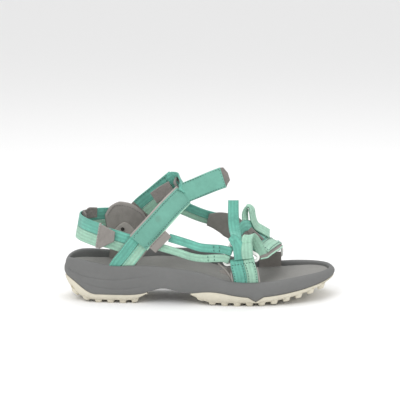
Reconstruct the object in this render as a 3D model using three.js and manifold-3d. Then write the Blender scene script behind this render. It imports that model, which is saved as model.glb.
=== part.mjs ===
// Strappy sport sandal, right foot. Millimetres, +Z up, toe towards +X, outer (lateral) side towards -Y.
// The origin is the middle of the sole's outline, on the ground under the tread.

import * as THREE from 'three';
import * as BufferGeometryUtils from 'three/addons/utils/BufferGeometryUtils.js';
import Module from 'manifold-3d';

const wasm = await Module();
wasm.setup();

// ---------------------------------------------------------------- driving dimensions

const SOLE_HALF_LENGTH = 135;
const GAP = 0.3; // air left between pieces that touch
const RIM_WIDTH = 6; // midsole wall around the footbed
const FOOTBED_THICKNESS = 4;
const SOLE_SLICES = 44;
const FOAM_EDGE = 8.5; // lowest height of the foam's lower edge
const HEEL_SWEEP = 15; // how far that edge rises at the back of the heel
const ARCH_RISE = 7; // and under the arch
const BALL_SWELL = 5; // and behind the ball of the foot
const TOE_SPRING = 13; // and at the toe
const TREAD_FLOOR = 3.1; // height of the tread's face between its lugs

const WEBBING = 1.4; // thickness of a webbing band
const BACKING = 1.0; // thickness of a grey synthetic backing
const PAD = 2.8; // thickness of the instep pad
const LAYER_1 = BACKING + GAP; // lift of what is sewn on a backing
const LAYER_2 = LAYER_1 + WEBBING + GAP; // lift of what is sewn on that webbing

const QUARTER_HALF = 10.2; // half width of the pair of bands on the outer quarter
const INSTEP_HALF = 10.2;
const MEDIAL_QUARTER_HALF = 11.8;
const HEEL_HALF = 12.3;
const ANCHOR_HALF = 11.8;
const RING_BAR = 2.8; // section of the rings' bars
const LOOP_RADIUS = 2.1; // middle of the air around a bar inside a webbing loop

// ---------------------------------------------------------------- colours

const TEAL = 0x4fb39a;
const MINT = 0x86cfae;
const VELOUR = 0x63b5a4;
const EVA = 0x7d7c7d;
const FOOTBED_GREY = 0x6f6d6b;
const RUBBER = 0xcfcab8;
const SYNTHETIC = 0x8a827e;
const RING_WHITE = 0xe9e7e2;

// ---------------------------------------------------------------- helpers

const vector = ([x, y, z]) => new THREE.Vector3(x, y, z);
const lerp = THREE.MathUtils.lerp;

/** Height as a smooth function of x through a few knots. */
function profile(knots) {
  const curve = new THREE.CatmullRomCurve3(
    knots.map(([x, z]) => new THREE.Vector3(x, z, 0)),
    false,
    'catmullrom',
    0.4,
  );
  const table = curve.getPoints(knots.length * 12);
  return (x) => {
    if (x <= table[0].x) return table[0].y;
    for (let i = 1; i < table.length; i += 1) {
      if (x <= table[i].x) {
        const share = (x - table[i - 1].x) / (table[i].x - table[i - 1].x);
        return lerp(table[i - 1].y, table[i].y, share);
      }
    }
    return table[table.length - 1].y;
  };
}

/** Goes from 0 at start to 1 at end, as a power of the share of the way, and stays level past both. */
const climb = (x, start, end, power = 2) => THREE.MathUtils.clamp((x - start) / (end - start), 0, 1) ** power;

/** A smooth hump of height 1 at its middle. */
const bell = (x, middle, width) => Math.exp(-(((x - middle) / width) ** 2));

/**
 * Moves every vertex of a unit box, u along, v across and w through, each from 0 to 1, to place(u, v,
 * w).
 */
function mappedBox(steps, place) {
  const box = new THREE.BoxGeometry(1, 1, 1, ...steps);
  const position = box.getAttribute('position');
  for (let i = 0; i < position.count; i += 1) {
    const point = place(position.getX(i) + 0.5, position.getY(i) + 0.5, position.getZ(i) + 0.5);
    position.setXYZ(i, point.x, point.y, point.z);
  }
  return box;
}

/** A three.js geometry as a manifold solid. */
function solid(geometry) {
  const bare = geometry.clone();
  bare.deleteAttribute('normal');
  bare.deleteAttribute('uv');
  const merged = BufferGeometryUtils.mergeVertices(bare, 1e-4);
  return new wasm.Manifold(new wasm.Mesh({
    numProp: 3,
    vertProperties: new Float32Array(merged.getAttribute('position').array),
    triVerts: new Uint32Array(merged.getIndex().array),
  }));
}

/** A manifold solid as a three.js geometry. */
function geometryOf(body) {
  const mesh = body.getMesh();
  const geometry = new THREE.BufferGeometry();
  geometry.setAttribute(
    'position',
    new THREE.BufferAttribute(new Float32Array(mesh.vertProperties), 3),
  );
  geometry.setIndex(new THREE.BufferAttribute(new Uint32Array(mesh.triVerts), 1));
  return geometry;
}

const sandal = new THREE.Group();

/** Adds one named piece with a material of its own. */
function piece(name, geometry, color, roughness = 0.85) {
  geometry.computeVertexNormals();
  const mesh = new THREE.Mesh(
    geometry,
    new THREE.MeshStandardMaterial({ color, roughness, metalness: 0 }),
  );
  mesh.name = name;
  sandal.add(mesh);
}

const asFunction = (value) => (typeof value === 'function' ? value : () => value);

/** Share of a list of numbers at u from 0 to 1, straight between the entries. */
function along(values) {
  return (u) => {
    const place = Math.min(u, 0.9999) * (values.length - 1);
    const i = Math.floor(place);
    return lerp(values[i], values[i + 1], place - i);
  };
}

/**
 * A flat band along a route. Across points from the low side of the band to its high side, and
 * the band's outer face lies along route x across. Low and high are the band's edges and lift
 * is how far its inner face stands off the route.
 */
function band({ route, across, low, high, lift = 0, thickness = WEBBING, steps = 12, from = 0, to = 1 }) {
  const centre = new THREE.CatmullRomCurve3(route.map(vector), false, 'centripetal');
  const side = new THREE.CatmullRomCurve3(across.map(vector), false, 'catmullrom', 0.3);
  const lowEdge = asFunction(low);
  const highEdge = asFunction(high);
  return mappedBox([steps, 1, 1], (u, v, w) => {
    const t = lerp(from, to, u);
    const tangent = centre.getTangent(t);
    const wide = side.getPoint(t);
    wide.addScaledVector(tangent, -wide.dot(tangent)).normalize();
    const out = new THREE.Vector3().crossVectors(tangent, wide);
    return centre.getPoint(t)
      .addScaledVector(wide, lerp(lowEdge(u), highEdge(u), v))
      .addScaledVector(out, lift + w * thickness);
  });
}

/** The point at a share of the way from a to b, as a plain list. */
const between = (a, b, share) => a.map((value, i) => lerp(value, b[i], share));

/** A point moved by other vectors, as a plain list. */
const moved = (point, ...shifts) => shifts.reduce(
  (sum, shift) => sum.map((value, i) => value + shift[i]),
  point,
);

/**
 * A closed flat ring: corners in the plane of right and up, round them by a radius, and a bar of square
 * section.
 */
function ring({ corners, round, centre, right, up }) {
  const out = new THREE.Vector3().crossVectors(vector(right), vector(up)).normalize();
  const upright = new THREE.Vector3().crossVectors(out, vector(right).normalize());
  const outline = (inset) => roundedPath(corners, round, inset);
  const shape = new THREE.Shape(outline(-RING_BAR / 2));
  shape.holes.push(new THREE.Path(outline(RING_BAR / 2)));
  const geometry = new THREE.ExtrudeGeometry(shape, { depth: RING_BAR, bevelEnabled: false });
  geometry.translate(0, 0, -RING_BAR / 2);
  const frame = new THREE.Matrix4().makeBasis(vector(right).normalize(), upright, out);
  frame.setPosition(vector(centre));
  return geometry.applyMatrix4(frame);
}

/** The corners of a convex polygon, each turned into an arc, moved inwards by inset. */
function roundedPath(corners, round, inset) {
  const points = [];
  const arcSteps = 4;
  const count = corners.length;
  const radius = round - inset;
  for (let i = 0; i < count; i += 1) {
    const here = new THREE.Vector2(...corners[i]);
    const before = new THREE.Vector2(...corners[(i + count - 1) % count]).sub(here).normalize();
    const after = new THREE.Vector2(...corners[(i + 1) % count]).sub(here).normalize();
    const half = Math.acos(THREE.MathUtils.clamp(before.dot(after), -1, 1)) / 2;
    const centre = before.clone().add(after).normalize().multiplyScalar(round / Math.sin(half)).add(here);
    const first = Math.atan2(before.x, -before.y);
    const turn = Math.PI - 2 * half;
    for (let step = 0; step <= arcSteps; step += 1) {
      const angle = first + (turn * step) / arcSteps;
      const spoke = new THREE.Vector2(Math.cos(angle), Math.sin(angle)).multiplyScalar(radius);
      points.push(spoke.add(centre));
    }
  }
  return points;
}

// ---------------------------------------------------------------- sole

// The sole's outline from above, from the heel along the outer side to the toe and back.
const OUTLINE = [
  [-135, -1], [-131, -16], [-116, -29], [-90, -34], [-50, -37], [-10, -42], [30, -48], [55, -48.5],
  [80, -45], [105, -35], [124, -19], [134, 0], [135, 12], [131, 26], [119, 38], [98, 46],
  [70, 48.5], [45, 43], [18, 34], [-20, 27], [-60, 28], [-95, 31], [-118, 26], [-131, 14],
];

const outlineTable = new THREE.CatmullRomCurve3(
  OUTLINE.map(([x, y]) => new THREE.Vector3(x, y, 0)),
  true,
)
  .getPoints(480)
  .map((point) => [
    THREE.MathUtils.clamp(point.x, -SOLE_HALF_LENGTH, SOLE_HALF_LENGTH),
    THREE.MathUtils.clamp(point.y, -48.5, 48.5),
  ]);

/** Where the outline crosses a given x: its lowest and its highest y. */
function edges(x) {
  let low = Infinity;
  let high = -Infinity;
  for (let i = 1; i < outlineTable.length; i += 1) {
    const [x0, y0] = outlineTable[i - 1];
    const [x1, y1] = outlineTable[i];
    if ((x0 - x) * (x1 - x) <= 0) {
      const y = x0 === x1 ? y0 : lerp(y0, y1, (x - x0) / (x1 - x0));
      low = Math.min(low, y);
      high = Math.max(high, y);
    }
  }
  return [low, high];
}

const lateralRim = profile([
  [-135, 43], [-110, 40.5], [-85, 35.5], [-40, 35], [0, 31], [30, 23], [60, 22], [100, 25.5], [135, 27],
]);
const medialRim = profile([
  [-135, 43], [-110, 41], [-85, 39], [-40, 42], [0, 40], [45, 27], [75, 24], [100, 25], [135, 27],
]);
/** Lower edge of the foam: level, swept up at heel and toe, arched at the waist, swelling at the ball. */
function midsoleBase(x) {
  const heel = HEEL_SWEEP * THREE.MathUtils.smoothstep(-x, 102, 134);
  const arch = ARCH_RISE * bell(x, -36, 17);
  const ball = BALL_SWELL * bell(x, 10, 24);
  return FOAM_EDGE + heel + arch + ball + TOE_SPRING * climb(x, 50, 135, 1.5);
}

const footbedHeight = profile([
  [-135, 34], [-110, 30.5], [-80, 29], [-40, 29.5], [0, 26], [30, 20.4], [60, 19.6], [90, 21.2],
  [115, 24], [135, 25.4],
]);
const heelTread = (x) => TREAD_FLOOR + 18 * climb(x, -104, -135) + 6.4 * climb(x, -72, -53);
const heelLugs = (x) => 6.6 * climb(x, -98, -122) + 4.5 * climb(x, -70, -56);
const foreTread = (x) => TREAD_FLOOR + 7 * climb(x, 12, -9, 1.5) + 16.8 * climb(x, 52, 135, 1.6);
const foreLugs = (x) => 5.5 * climb(x, 18, -2, 1.5) + 13.6 * climb(x, 50, 126, 1.6);

/**
 * Height of the footbed at x, and v from the outer edge, 0, to the inner edge, 1: cupped at the heel
 * and the arch.
 */
function footbedTop(x, v) {
  const cup = x < 0 ? lerp(
    4.5,
    3,
    THREE.MathUtils.clamp((x + 100) / 100, 0, 1),
  ) : lerp(3, 0.6, Math.min(x / 45, 1));
  const archLift = 4 * bell(x, -25, 38) * v * v;
  return footbedHeight(x) + cup * (2 * v - 1) ** 2 - 0.6 + archLift;
}

/** A body that fills the sole's outline from x0 to x1, drawn in by inset, between two heights. */
function soleSlab({
  x0, x1, inset, base, top, slices = SOLE_SLICES, across = 6, layers = 1, bulge = () => 0,
}) {
  const reach = SOLE_HALF_LENGTH - inset;
  const start = Math.asin(THREE.MathUtils.clamp(x0 / reach, -1, 1));
  const end = Math.asin(THREE.MathUtils.clamp(x1 / reach, -1, 1));
  return mappedBox([slices, across, layers], (u, v, w) => {
    const sweep = Math.sin(lerp(start, end, u));
    const [low, high] = edges(THREE.MathUtils.clamp(sweep * SOLE_HALF_LENGTH * 0.9993, -134.9, 134.9));
    const middle = (low + high) / 2;
    const half = ((high - low) / 2) * (1 - (inset + bulge(w)) / 45);
    const x = sweep * (reach - bulge(w));
    const y = middle + (2 * v - 1) * half;
    return new THREE.Vector3(x, y, lerp(base(x, v), top(x, v), w));
  });
}

const rimTop = (x, v) => lerp(lateralRim(x), medialRim(x), v);
const recessFloor = (x, v) => footbedTop(x, v) - FOOTBED_THICKNESS - GAP;

/** Slots between the rim and the footbed where the straps go down into the sole. */
const SLOTS = [
  { centre: [-79.8, -29.3, 26.6], size: [30.4, 5.6, 26.8] },
  { centre: [-79, 24.6, 30], size: [30, 5, 25.6] },
  { centre: [44.6, -42.2, 18], size: [28, 6.4, 11.6] },
  { centre: [71.8, 41.9, 19.2], size: [26, 6.8, 13] },
];

function slotCutters() {
  return SLOTS.map(({ centre, size }) => {
    const box = new THREE.BoxGeometry(...size);
    box.translate(...centre);
    return solid(box);
  });
}

const SHANK = { x0: -62, x1: 6, half: 17, thickness: 2.2 };
const HEEL_PAD = { x: -98, y: -2, radius: 19, depth: 6 };

/** The stiff arch plate follows the recess floor; grow enlarges it for its pocket. */
function shankGeometry(grow) {
  return mappedBox([8, 2, 1], (u, v, w) => {
    const x = lerp(SHANK.x0 - grow, SHANK.x1 + grow, u);
    const y = -4 + (2 * v - 1) * (SHANK.half + grow);
    const floor = Math.min(recessFloor(x, 0.5) - 1.2, 23.6);
    return new THREE.Vector3(x, y, floor + lerp(-SHANK.thickness - grow, grow > 0 ? 14 : 0, w));
  });
}

/** The soft heel plug; grow enlarges it for its pocket. */
function heelPadGeometry(grow) {
  const floor = recessFloor(HEEL_PAD.x, 0.5) - 0.9;
  const height = HEEL_PAD.depth + (grow > 0 ? 14 : 0);
  const plug = new THREE.CylinderGeometry(HEEL_PAD.radius + grow, HEEL_PAD.radius + grow, height, 32);
  plug.rotateX(Math.PI / 2);
  plug.translate(HEEL_PAD.x, HEEL_PAD.y, floor - HEEL_PAD.depth - grow + height / 2);
  return plug;
}

function buildMidsole(slots) {
  const bulge = (w) => [2.6, 0, 0.3, 1.4][Math.round(w * 3)];
  let body = solid(soleSlab({
    x0: -SOLE_HALF_LENGTH, x1: SOLE_HALF_LENGTH, inset: 0, layers: 3, bulge, base: midsoleBase,
    top: rimTop,
  }));
  body = body.subtract(solid(soleSlab({
    x0: -SOLE_HALF_LENGTH, x1: SOLE_HALF_LENGTH, inset: RIM_WIDTH, base: recessFloor, top: () => 70,
  })));
  body = body.subtract(solid(shankGeometry(GAP)));
  body = body.subtract(solid(heelPadGeometry(GAP)));
  slots.forEach((slot) => {
    body = body.subtract(slot);
  });
  piece('midsole', geometryOf(body), EVA, 0.8);
  piece('arch_shank', shankGeometry(0), 0x2f3133, 0.5);
  piece('heel_shock_pad', heelPadGeometry(0), 0x3c6e8c, 0.6);
}

function buildFootbed(slots) {
  let body = solid(soleSlab({
    x0: -SOLE_HALF_LENGTH, x1: SOLE_HALF_LENGTH, inset: RIM_WIDTH + 0.5,
    base: (x, v) => recessFloor(x, v) + GAP, top: footbedTop,
  }));
  slots.forEach((slot) => {
    body = body.subtract(slot);
  });
  piece('footbed', geometryOf(body), FOOTBED_GREY, 0.95);
}

/** One tread plate with rows of lugs under it. */
function buildOutsole(name, { x0, x1, tread, lugs, rows, slices }) {
  let body = solid(soleSlab({ x0, x1, inset: 0.6, slices, base: tread, top: (x) => midsoleBase(x) - GAP }));
  rows.forEach(({ x, count, length }) => {
    const [low, high] = edges(x);
    const pitch = (high - low - 3) / count;
    for (let i = 0; i < count; i += 1) {
      const y0 = low + 1.5 + i * pitch + 1.2;
      body = body.add(solid(mappedBox([1, 1, 1], (u, v, w) => {
        const place = x + (u - 0.5) * length * (w < 0.5 ? 0.8 : 1);
        const y = y0 + v * (pitch - 2.4);
        return new THREE.Vector3(place, y, w < 0.5 ? Math.max(0, lugs(x)) : tread(place) + 1.4);
      })));
    }
  });
  piece(name, geometryOf(body), RUBBER, 0.9);
}

function buildSole() {
  const slots = slotCutters();
  buildMidsole(slots);
  buildFootbed(slots);
  buildOutsole('heel_outsole', {
    x0: -SOLE_HALF_LENGTH, x1: -52, tread: heelTread, lugs: heelLugs, slices: 20,
    rows: [-117, -105, -93, -81, -69, -59].map((x) => ({ x, count: x < -110 ? 3 : 4, length: 8 })),
  });
  buildOutsole('forefoot_outsole', {
    x0: -9, x1: SOLE_HALF_LENGTH, tread: foreTread, lugs: foreLugs, slices: 28,
    rows: [6, 18, 30, 42, 54, 66, 78, 90, 102, 114].map((x) => ({ x, count: x > 108 ? 4 : 5, length: 8 })),
  });
}

// ---------------------------------------------------------------- strap routes

// The outer quarter strap rises out of the heel rim and leans forward over the instep to the ring.
const OUTER_QUARTER = {
  route: [
    [-83, -27.6, 19], [-79.5, -27.9, 33], [-69, -30.4, 47.5], [-58.5, -30.4, 61], [-44, -25, 76],
    [-29.5, -13.5, 90.5], [-17.5, 0.5, 100.8],
  ],
  across: [
    [-0.79, 0, 0.61], [-0.79, 0, 0.61], [-0.77, 0, 0.63], [-0.74, 0.05, 0.675], [-0.7, 0.1, 0.7],
    [-0.62, 0.15, 0.77], [-0.526, 0.188, 0.83],
  ],
};
// The inner quarter strap stands higher, behind the padded collar.
const INNER_QUARTER = {
  route: [
    [-81.5, 23.4, 19], [-78.8, 23.5, 42], [-71.6, 27.9, 58], [-62, 28.6, 78], [-43, 22.8, 96],
    [-23.5, 15.6, 113.3],
  ],
  across: [
    [0.95, 0, -0.3], [0.93, 0, -0.36], [0.84, 0, -0.54], [0.72, 0, -0.69], [0.66, 0, -0.75],
    [0.66, 0, -0.75],
  ],
};
const HEEL_BAND = {
  route: [
    [-76.5, 25.6, 71.2], [-88, 25, 72], [-102, 21.2, 72.5], [-114, 13, 72.5], [-119.6, -1, 72.2],
    [-115.5, -14, 70.8], [-109, -21.4, 69.4],
  ],
  across: [
    [0, 0, 1], [0, 0, 1], [0.05, 0, 1], [0.15, 0, 0.98], [0.19, 0, 0.98], [0.1, 0, 0.99], [0, 0, 1],
  ],
};
const HEEL_FLAP = {
  route: [[-107.4, -22.7, 69.1], [-102, -26.2, 67.8], [-95.6, -29.4, 66.2], [-83, -33.2, 64.4]],
  across: [[-0.05, 0, 1], [-0.08, 0, 0.995], [-0.1, 0, 0.995], [-0.1, 0, 0.995]],
};
const HEEL_INNER = {
  route: [
    [-106, -19.6, 66.6], [-98, -24.4, 65], [-85, -28, 62.3], [-75, -28.8, 59.2], [-68.6, -28.5, 57.1],
  ],
  across: [[0, 0, 1], [0, 0, 1], [0.15, 0, 0.98], [0.2, 0, 0.98], [0.2, 0, 0.98]],
};
const INSTEP_FLAP = {
  route: [
    [-13.4, -1.2, 104.6], [-1, -1.2, 109.8], [10.4, -1.2, 114.6], [21.4, -1.2, 118.8],
    [28.4, -1.2, 121],
  ],
  across: [
    [-0.45, 0.2, 0.87], [-0.4, 0.2, 0.89], [-0.35, 0.2, 0.92], [-0.33, 0.2, 0.92], [-0.33, 0.2, 0.92],
  ],
};
const COLLAR = {
  route: [[-56, 25.2, 66], [-68, 24.9, 70], [-82, 22.8, 73], [-95, 18.2, 71]],
};

function buildOuterQuarter() {
  const { route, across } = OUTER_QUARTER;
  piece('outer_quarter_backing', band({
    route, across, low: -QUARTER_HALF - 1.2, high: QUARTER_HALF, thickness: BACKING, to: 0.6, steps: 16,
  }), SYNTHETIC);
  const pair = { route, across, lift: LAYER_1, to: 0.58, steps: 16 };
  piece('outer_quarter_webbing_teal', band({ ...pair, low: -0.4, high: QUARTER_HALF }), TEAL);
  piece('outer_quarter_webbing_mint', band({ ...pair, low: -QUARTER_HALF, high: -0.4 - GAP }), MINT);
  piece('instep_pad', band({
    route, across, low: -INSTEP_HALF, high: INSTEP_HALF, lift: LAYER_2, thickness: PAD, from: 0.485,
    to: 0.985, steps: 12,
  }), VELOUR);
  piece('instep_pad_lining', band({
    route, across, low: -INSTEP_HALF + 0.6, high: INSTEP_HALF + 1, lift: LAYER_2 - GAP - BACKING,
    thickness: BACKING, from: 0.61, to: 0.9, steps: 9,
  }), SYNTHETIC);
  piece('blank_label', band({
    route: [[-45.2, -34.6, 52.6], [-37.5, -35, 60.6], [-29.4, -34.4, 68.4]],
    across: [[-0.75, 0, 0.66], [-0.75, 0, 0.66], [-0.75, 0.1, 0.66]],
    low: -4, high: 4.6, thickness: 0.9, steps: 5,
  }), SYNTHETIC);
}

function buildInnerQuarter() {
  const { route, across } = INNER_QUARTER;
  piece('inner_quarter_backing', band({
    route, across, low: -MEDIAL_QUARTER_HALF, high: MEDIAL_QUARTER_HALF, thickness: BACKING, to: 0.64,
    steps: 12,
  }), SYNTHETIC);
  const pair = { route, across, lift: LAYER_1, steps: 18 };
  piece(
    'inner_quarter_webbing_teal',
    band({ ...pair, low: -MEDIAL_QUARTER_HALF, high: -GAP / 2 }),
    TEAL,
  );
  piece('inner_quarter_webbing_mint', band({ ...pair, low: GAP / 2, high: MEDIAL_QUARTER_HALF }), MINT);
  piece('instep_lining_tab', band({
    route: [[-46.5, 9.5, 97], [-38, 9.5, 103], [-28.5, 9.5, 108.5]],
    across: [[0.3, -0.3, -0.9], [0.45, -0.3, -0.85], [0.5, -0.3, -0.8]],
    low: -6, high: 7, thickness: 1.6, steps: 6,
  }), SYNTHETIC);
}

// The ring that joins the two quarter straps on the instep is skewed: its bars are not opposite.
const INSTEP_RING = {
  frontBar: [-16.6, 0.6, 101.4],
  backBar: [-21.8, 15.4, 114.8],
  right: [0.58, -0.14, -0.8],
  half: 8.8,
  skew: 2,
};

function buildInstepRing() {
  const { frontBar, backBar, right, half, skew } = INSTEP_RING;
  const across = vector(right).normalize();
  const rise = vector(backBar).sub(vector(frontBar));
  rise.addScaledVector(across, -rise.dot(across));
  const height = rise.length() / 2;
  piece('instep_ring', ring({
    corners: [
      [skew - half, -height], [skew + half, -height], [half - skew, height], [-half - skew, height],
    ],
    round: 3,
    centre: between(frontBar, backBar, 0.5),
    right,
    up: rise.toArray(),
  }), RING_WHITE, 0.4);
}

function buildInstepFlap() {
  const { route, across } = INSTEP_FLAP;
  piece('instep_flap', band({
    route, across, low: -10.4, high: 10.4, thickness: 2, to: 0.76, steps: 8,
  }), VELOUR);
  piece('instep_flap_tip', band({
    route,
    across,
    low: along([-10.2, -7, -4.5]),
    high: along([10.2, 9.6, 3.2]),
    thickness: 1.6,
    from: 0.765,
    to: 1,
    steps: 4,
  }), SYNTHETIC);
}

function buildHeelStrap() {
  const back = { ...HEEL_BAND, steps: 20 };
  piece('heel_band_teal', band({ ...back, low: GAP / 2, high: HEEL_HALF }), TEAL);
  piece('heel_band_mint', band({ ...back, low: -HEEL_HALF, high: -GAP / 2 }), MINT);
  const flap = { ...HEEL_FLAP, steps: 6, to: 0.64 };
  piece('heel_flap_teal', band({ ...flap, low: GAP / 2, high: HEEL_HALF }), TEAL);
  piece('heel_flap_mint', band({ ...flap, low: -HEEL_HALF, high: -GAP / 2 }), MINT);
  piece('heel_flap_tip', band({
    ...HEEL_FLAP,
    low: along([-12.4, -11, -3]),
    high: along([12.4, 10, 7.4]),
    from: 0.65,
    to: 1,
    steps: 4,
  }), SYNTHETIC);
  const inner = { ...HEEL_INNER, thickness: 1.2, steps: 10 };
  piece('heel_inner_band_teal', band({ ...inner, low: GAP / 2, high: 10.6 }), TEAL);
  piece('heel_inner_band_mint', band({ ...inner, low: -9.4, high: -GAP / 2 }), MINT);
}

function buildCollar() {
  const upright = COLLAR.route.map(() => [0, 0, 1]);
  piece('heel_collar_pad', band({
    route: COLLAR.route,
    across: upright,
    low: -13,
    high: along([8.5, 16.6, 18.6, 8]),
    lift: -5,
    thickness: 4.6,
    steps: 12,
  }), SYNTHETIC);
  piece('collar_tab', band({
    route: [[-66.5, 18.8, 60.5], [-76, 17.6, 64.5], [-85, 15.4, 62]],
    across: [[0, 0, 1], [0, 0, 1], [0, 0, 1]],
    low: along([-4, -5.5, -3.5]), high: along([2.5, 6.4, 2]), lift: -0.4, thickness: 1.2, steps: 8,
  }), SYNTHETIC);
  const rivet = new THREE.CylinderGeometry(1.5, 1.9, 1.2, 12);
  rivet.translate(-77.6, 15.6, 64.2);
  piece('collar_rivet', rivet, 0x3a3634, 0.4);
}

// ---------------------------------------------------------------- forefoot straps

// The outer forefoot ring lies in an upright plane: its low bar is held by the anchor, its rear
// bar by the side straps and its front bar by the toe strap.
const OUTER_RING = {
  centre: [36, -42.2, 50],
  top: [-5.4, 14.6],
  rear: [-14.6, -10.2],
  front: [27, -4],
};
const ringPoint = ([right, up]) => [
  OUTER_RING.centre[0] + right,
  OUTER_RING.centre[1],
  OUTER_RING.centre[2] + up,
];

/**
 * Points of a webbing's turn around a bar: it comes in on one face, goes round below or ahead, and
 * leaves on the other.
 */
function turnRound(bar, ahead, out) {
  const shift = (a, b) => bar.map((value, i) => value + a * ahead[i] + b * out[i]);
  const wide = RING_BAR / 2 + LOOP_RADIUS;
  return [
    shift(-1, wide),
    shift(wide * 0.75, wide * 0.72),
    shift(wide * 1.06, 0),
    shift(wide * 0.75, -wide * 0.72),
    shift(-1, -wide),
  ];
}

function buildOuterAnchor() {
  const upAxis = [-0.13, 0, 0.99];
  const bar = between(ringPoint(OUTER_RING.rear), ringPoint(OUTER_RING.front), 0.47);
  const rearward = [-1, 0, 0];
  const route = [
    [44.8, -42.8, 13.4],
    [44.8, -43.4, 21],
    [43.6, -45.6, 32],
    ...turnRound(bar, upAxis, [0, -1, 0]),
    [42.6, -39.8, 35],
  ];
  const across = route.map((_, i) => (i < 3 ? [-1, 0, -0.04] : [-0.991, 0, -0.13]));
  const pair = { route, across, lift: -WEBBING / 2, steps: 26 };
  piece('outer_anchor_webbing_teal', band({ ...pair, low: -1, high: ANCHOR_HALF }), TEAL);
  piece('outer_anchor_webbing_mint', band({ ...pair, low: -ANCHOR_HALF, high: -1 - GAP }), MINT);
  piece('outer_anchor_backing', band({
    route: [[44.8, -39.7, 13.4], [44.8, -39.6, 22], [42.5, -37.4, 34], [40, -36.4, 41]],
    across: route.slice(0, 4).map(() => rearward),
    low: along([-13, -13, -12.6, -11]), high: along([13, 13, 17, 23]), thickness: BACKING, steps: 10,
  }), SYNTHETIC);
}

function buildOuterRing() {
  const { top, rear, front, centre } = OUTER_RING;
  piece(
    'outer_ring',
    ring({ corners: [rear, front, top], round: 3.4, centre, right: [1, 0, 0], up: [0, 0, 1] }),
    RING_WHITE,
    0.4,
  );
}

function buildSideStraps() {
  const rearBar = (share) => between(ringPoint(OUTER_RING.rear), ringPoint(OUTER_RING.top), share);
  const out = [0, -1, 0];
  const alongBar = (route) => route.map((_, i) => (i < 5 ? [0, 0, 1] : [0.36, 0, 0.93]));
  const teal = [
    [-30, -31.5, 65], [-26, -32, 64], [-12, -34, 60], [0, -36.5, 56.5], [10, -39.5, 56],
    [19, -44.5, 56.5],
    ...turnRound(rearBar(0.62), [0.93, 0, -0.36], out),
  ];
  const mint = [
    [-41, -32.5, 56.5], [-34, -32.5, 54.5], [-20, -34, 50.5], [-8, -36.5, 47],
    [4, -39.5, 46], [14, -44.5, 47.5],
    ...turnRound(rearBar(0.3), [0.93, 0, -0.36], out),
  ];
  const shape = { lift: -WEBBING / 2, steps: 24 };
  piece(
    'outer_side_strap_teal',
    band({ ...shape, low: -4.2, high: 4.2, route: teal, across: alongBar(teal) }),
    TEAL,
  );
  piece('outer_side_strap_mint', band({
    ...shape, low: -3.8, high: 3.8, route: mint, across: alongBar(mint),
  }), MINT);
  const inner = [
    [-39, 27.6, 92.6], [-26, 28, 86], [-12, 29.6, 79.5], [2, 34, 73], [14, 37.6, 69], [26, 39.2, 66],
    [36, 40.4, 61],
  ];
  const down = inner.map(() => [-0.35, 0, -0.94]);
  piece(
    'inner_side_strap_teal',
    band({ route: inner, across: down, low: -8.2, high: 0.2, thickness: WEBBING, steps: 14 }),
    TEAL,
  );
  piece(
    'inner_side_strap_mint',
    band({ route: inner, across: down, low: 0.5, high: 5.6, thickness: WEBBING, steps: 14 }),
    MINT,
  );
}

// The toe pad crosses from the outer ring to the inner ring and slopes down towards the toes.
const TOE_PAD = {
  route: [
    [52, -32.4, 48.4], [55, -26, 51.6], [60, -13, 54.6], [65, 0, 54.8], [68.6, 13, 52.6],
    [70.8, 25, 47.8], [71.4, 33, 43],
  ],
  across: [
    [-0.86, -0.2, 0.46], [-0.85, -0.15, 0.5], [-0.84, -0.1, 0.53], [-0.84, 0, 0.54], [-0.86, 0, 0.5],
    [-0.92, 0, 0.38], [-0.98, 0, 0.2],
  ],
};

function buildToePad() {
  piece('toe_pad', band({
    ...TOE_PAD,
    low: along([-8, -13, -15, -15.5, -15, -13, -11]),
    high: along([8, 13, 15, 15, 14, 12, 11]),
    thickness: 2.6, steps: 14,
  }), SYNTHETIC);
  const onPad = { ...TOE_PAD, lift: 2.6 + GAP, steps: 14, from: 0.04 };
  piece(
    'toe_webbing_teal',
    band({ ...onPad, low: GAP / 2, high: along([7, 11.6, 11.8, 11.8, 11.4, 10.6]) }),
    TEAL,
  );
  piece('toe_webbing_mint', band({
    ...onPad, from: 0.22, low: along([-10.6, -12, -12, -12, -11.6, -10.6]), high: -GAP / 2,
  }), MINT);
}

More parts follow.
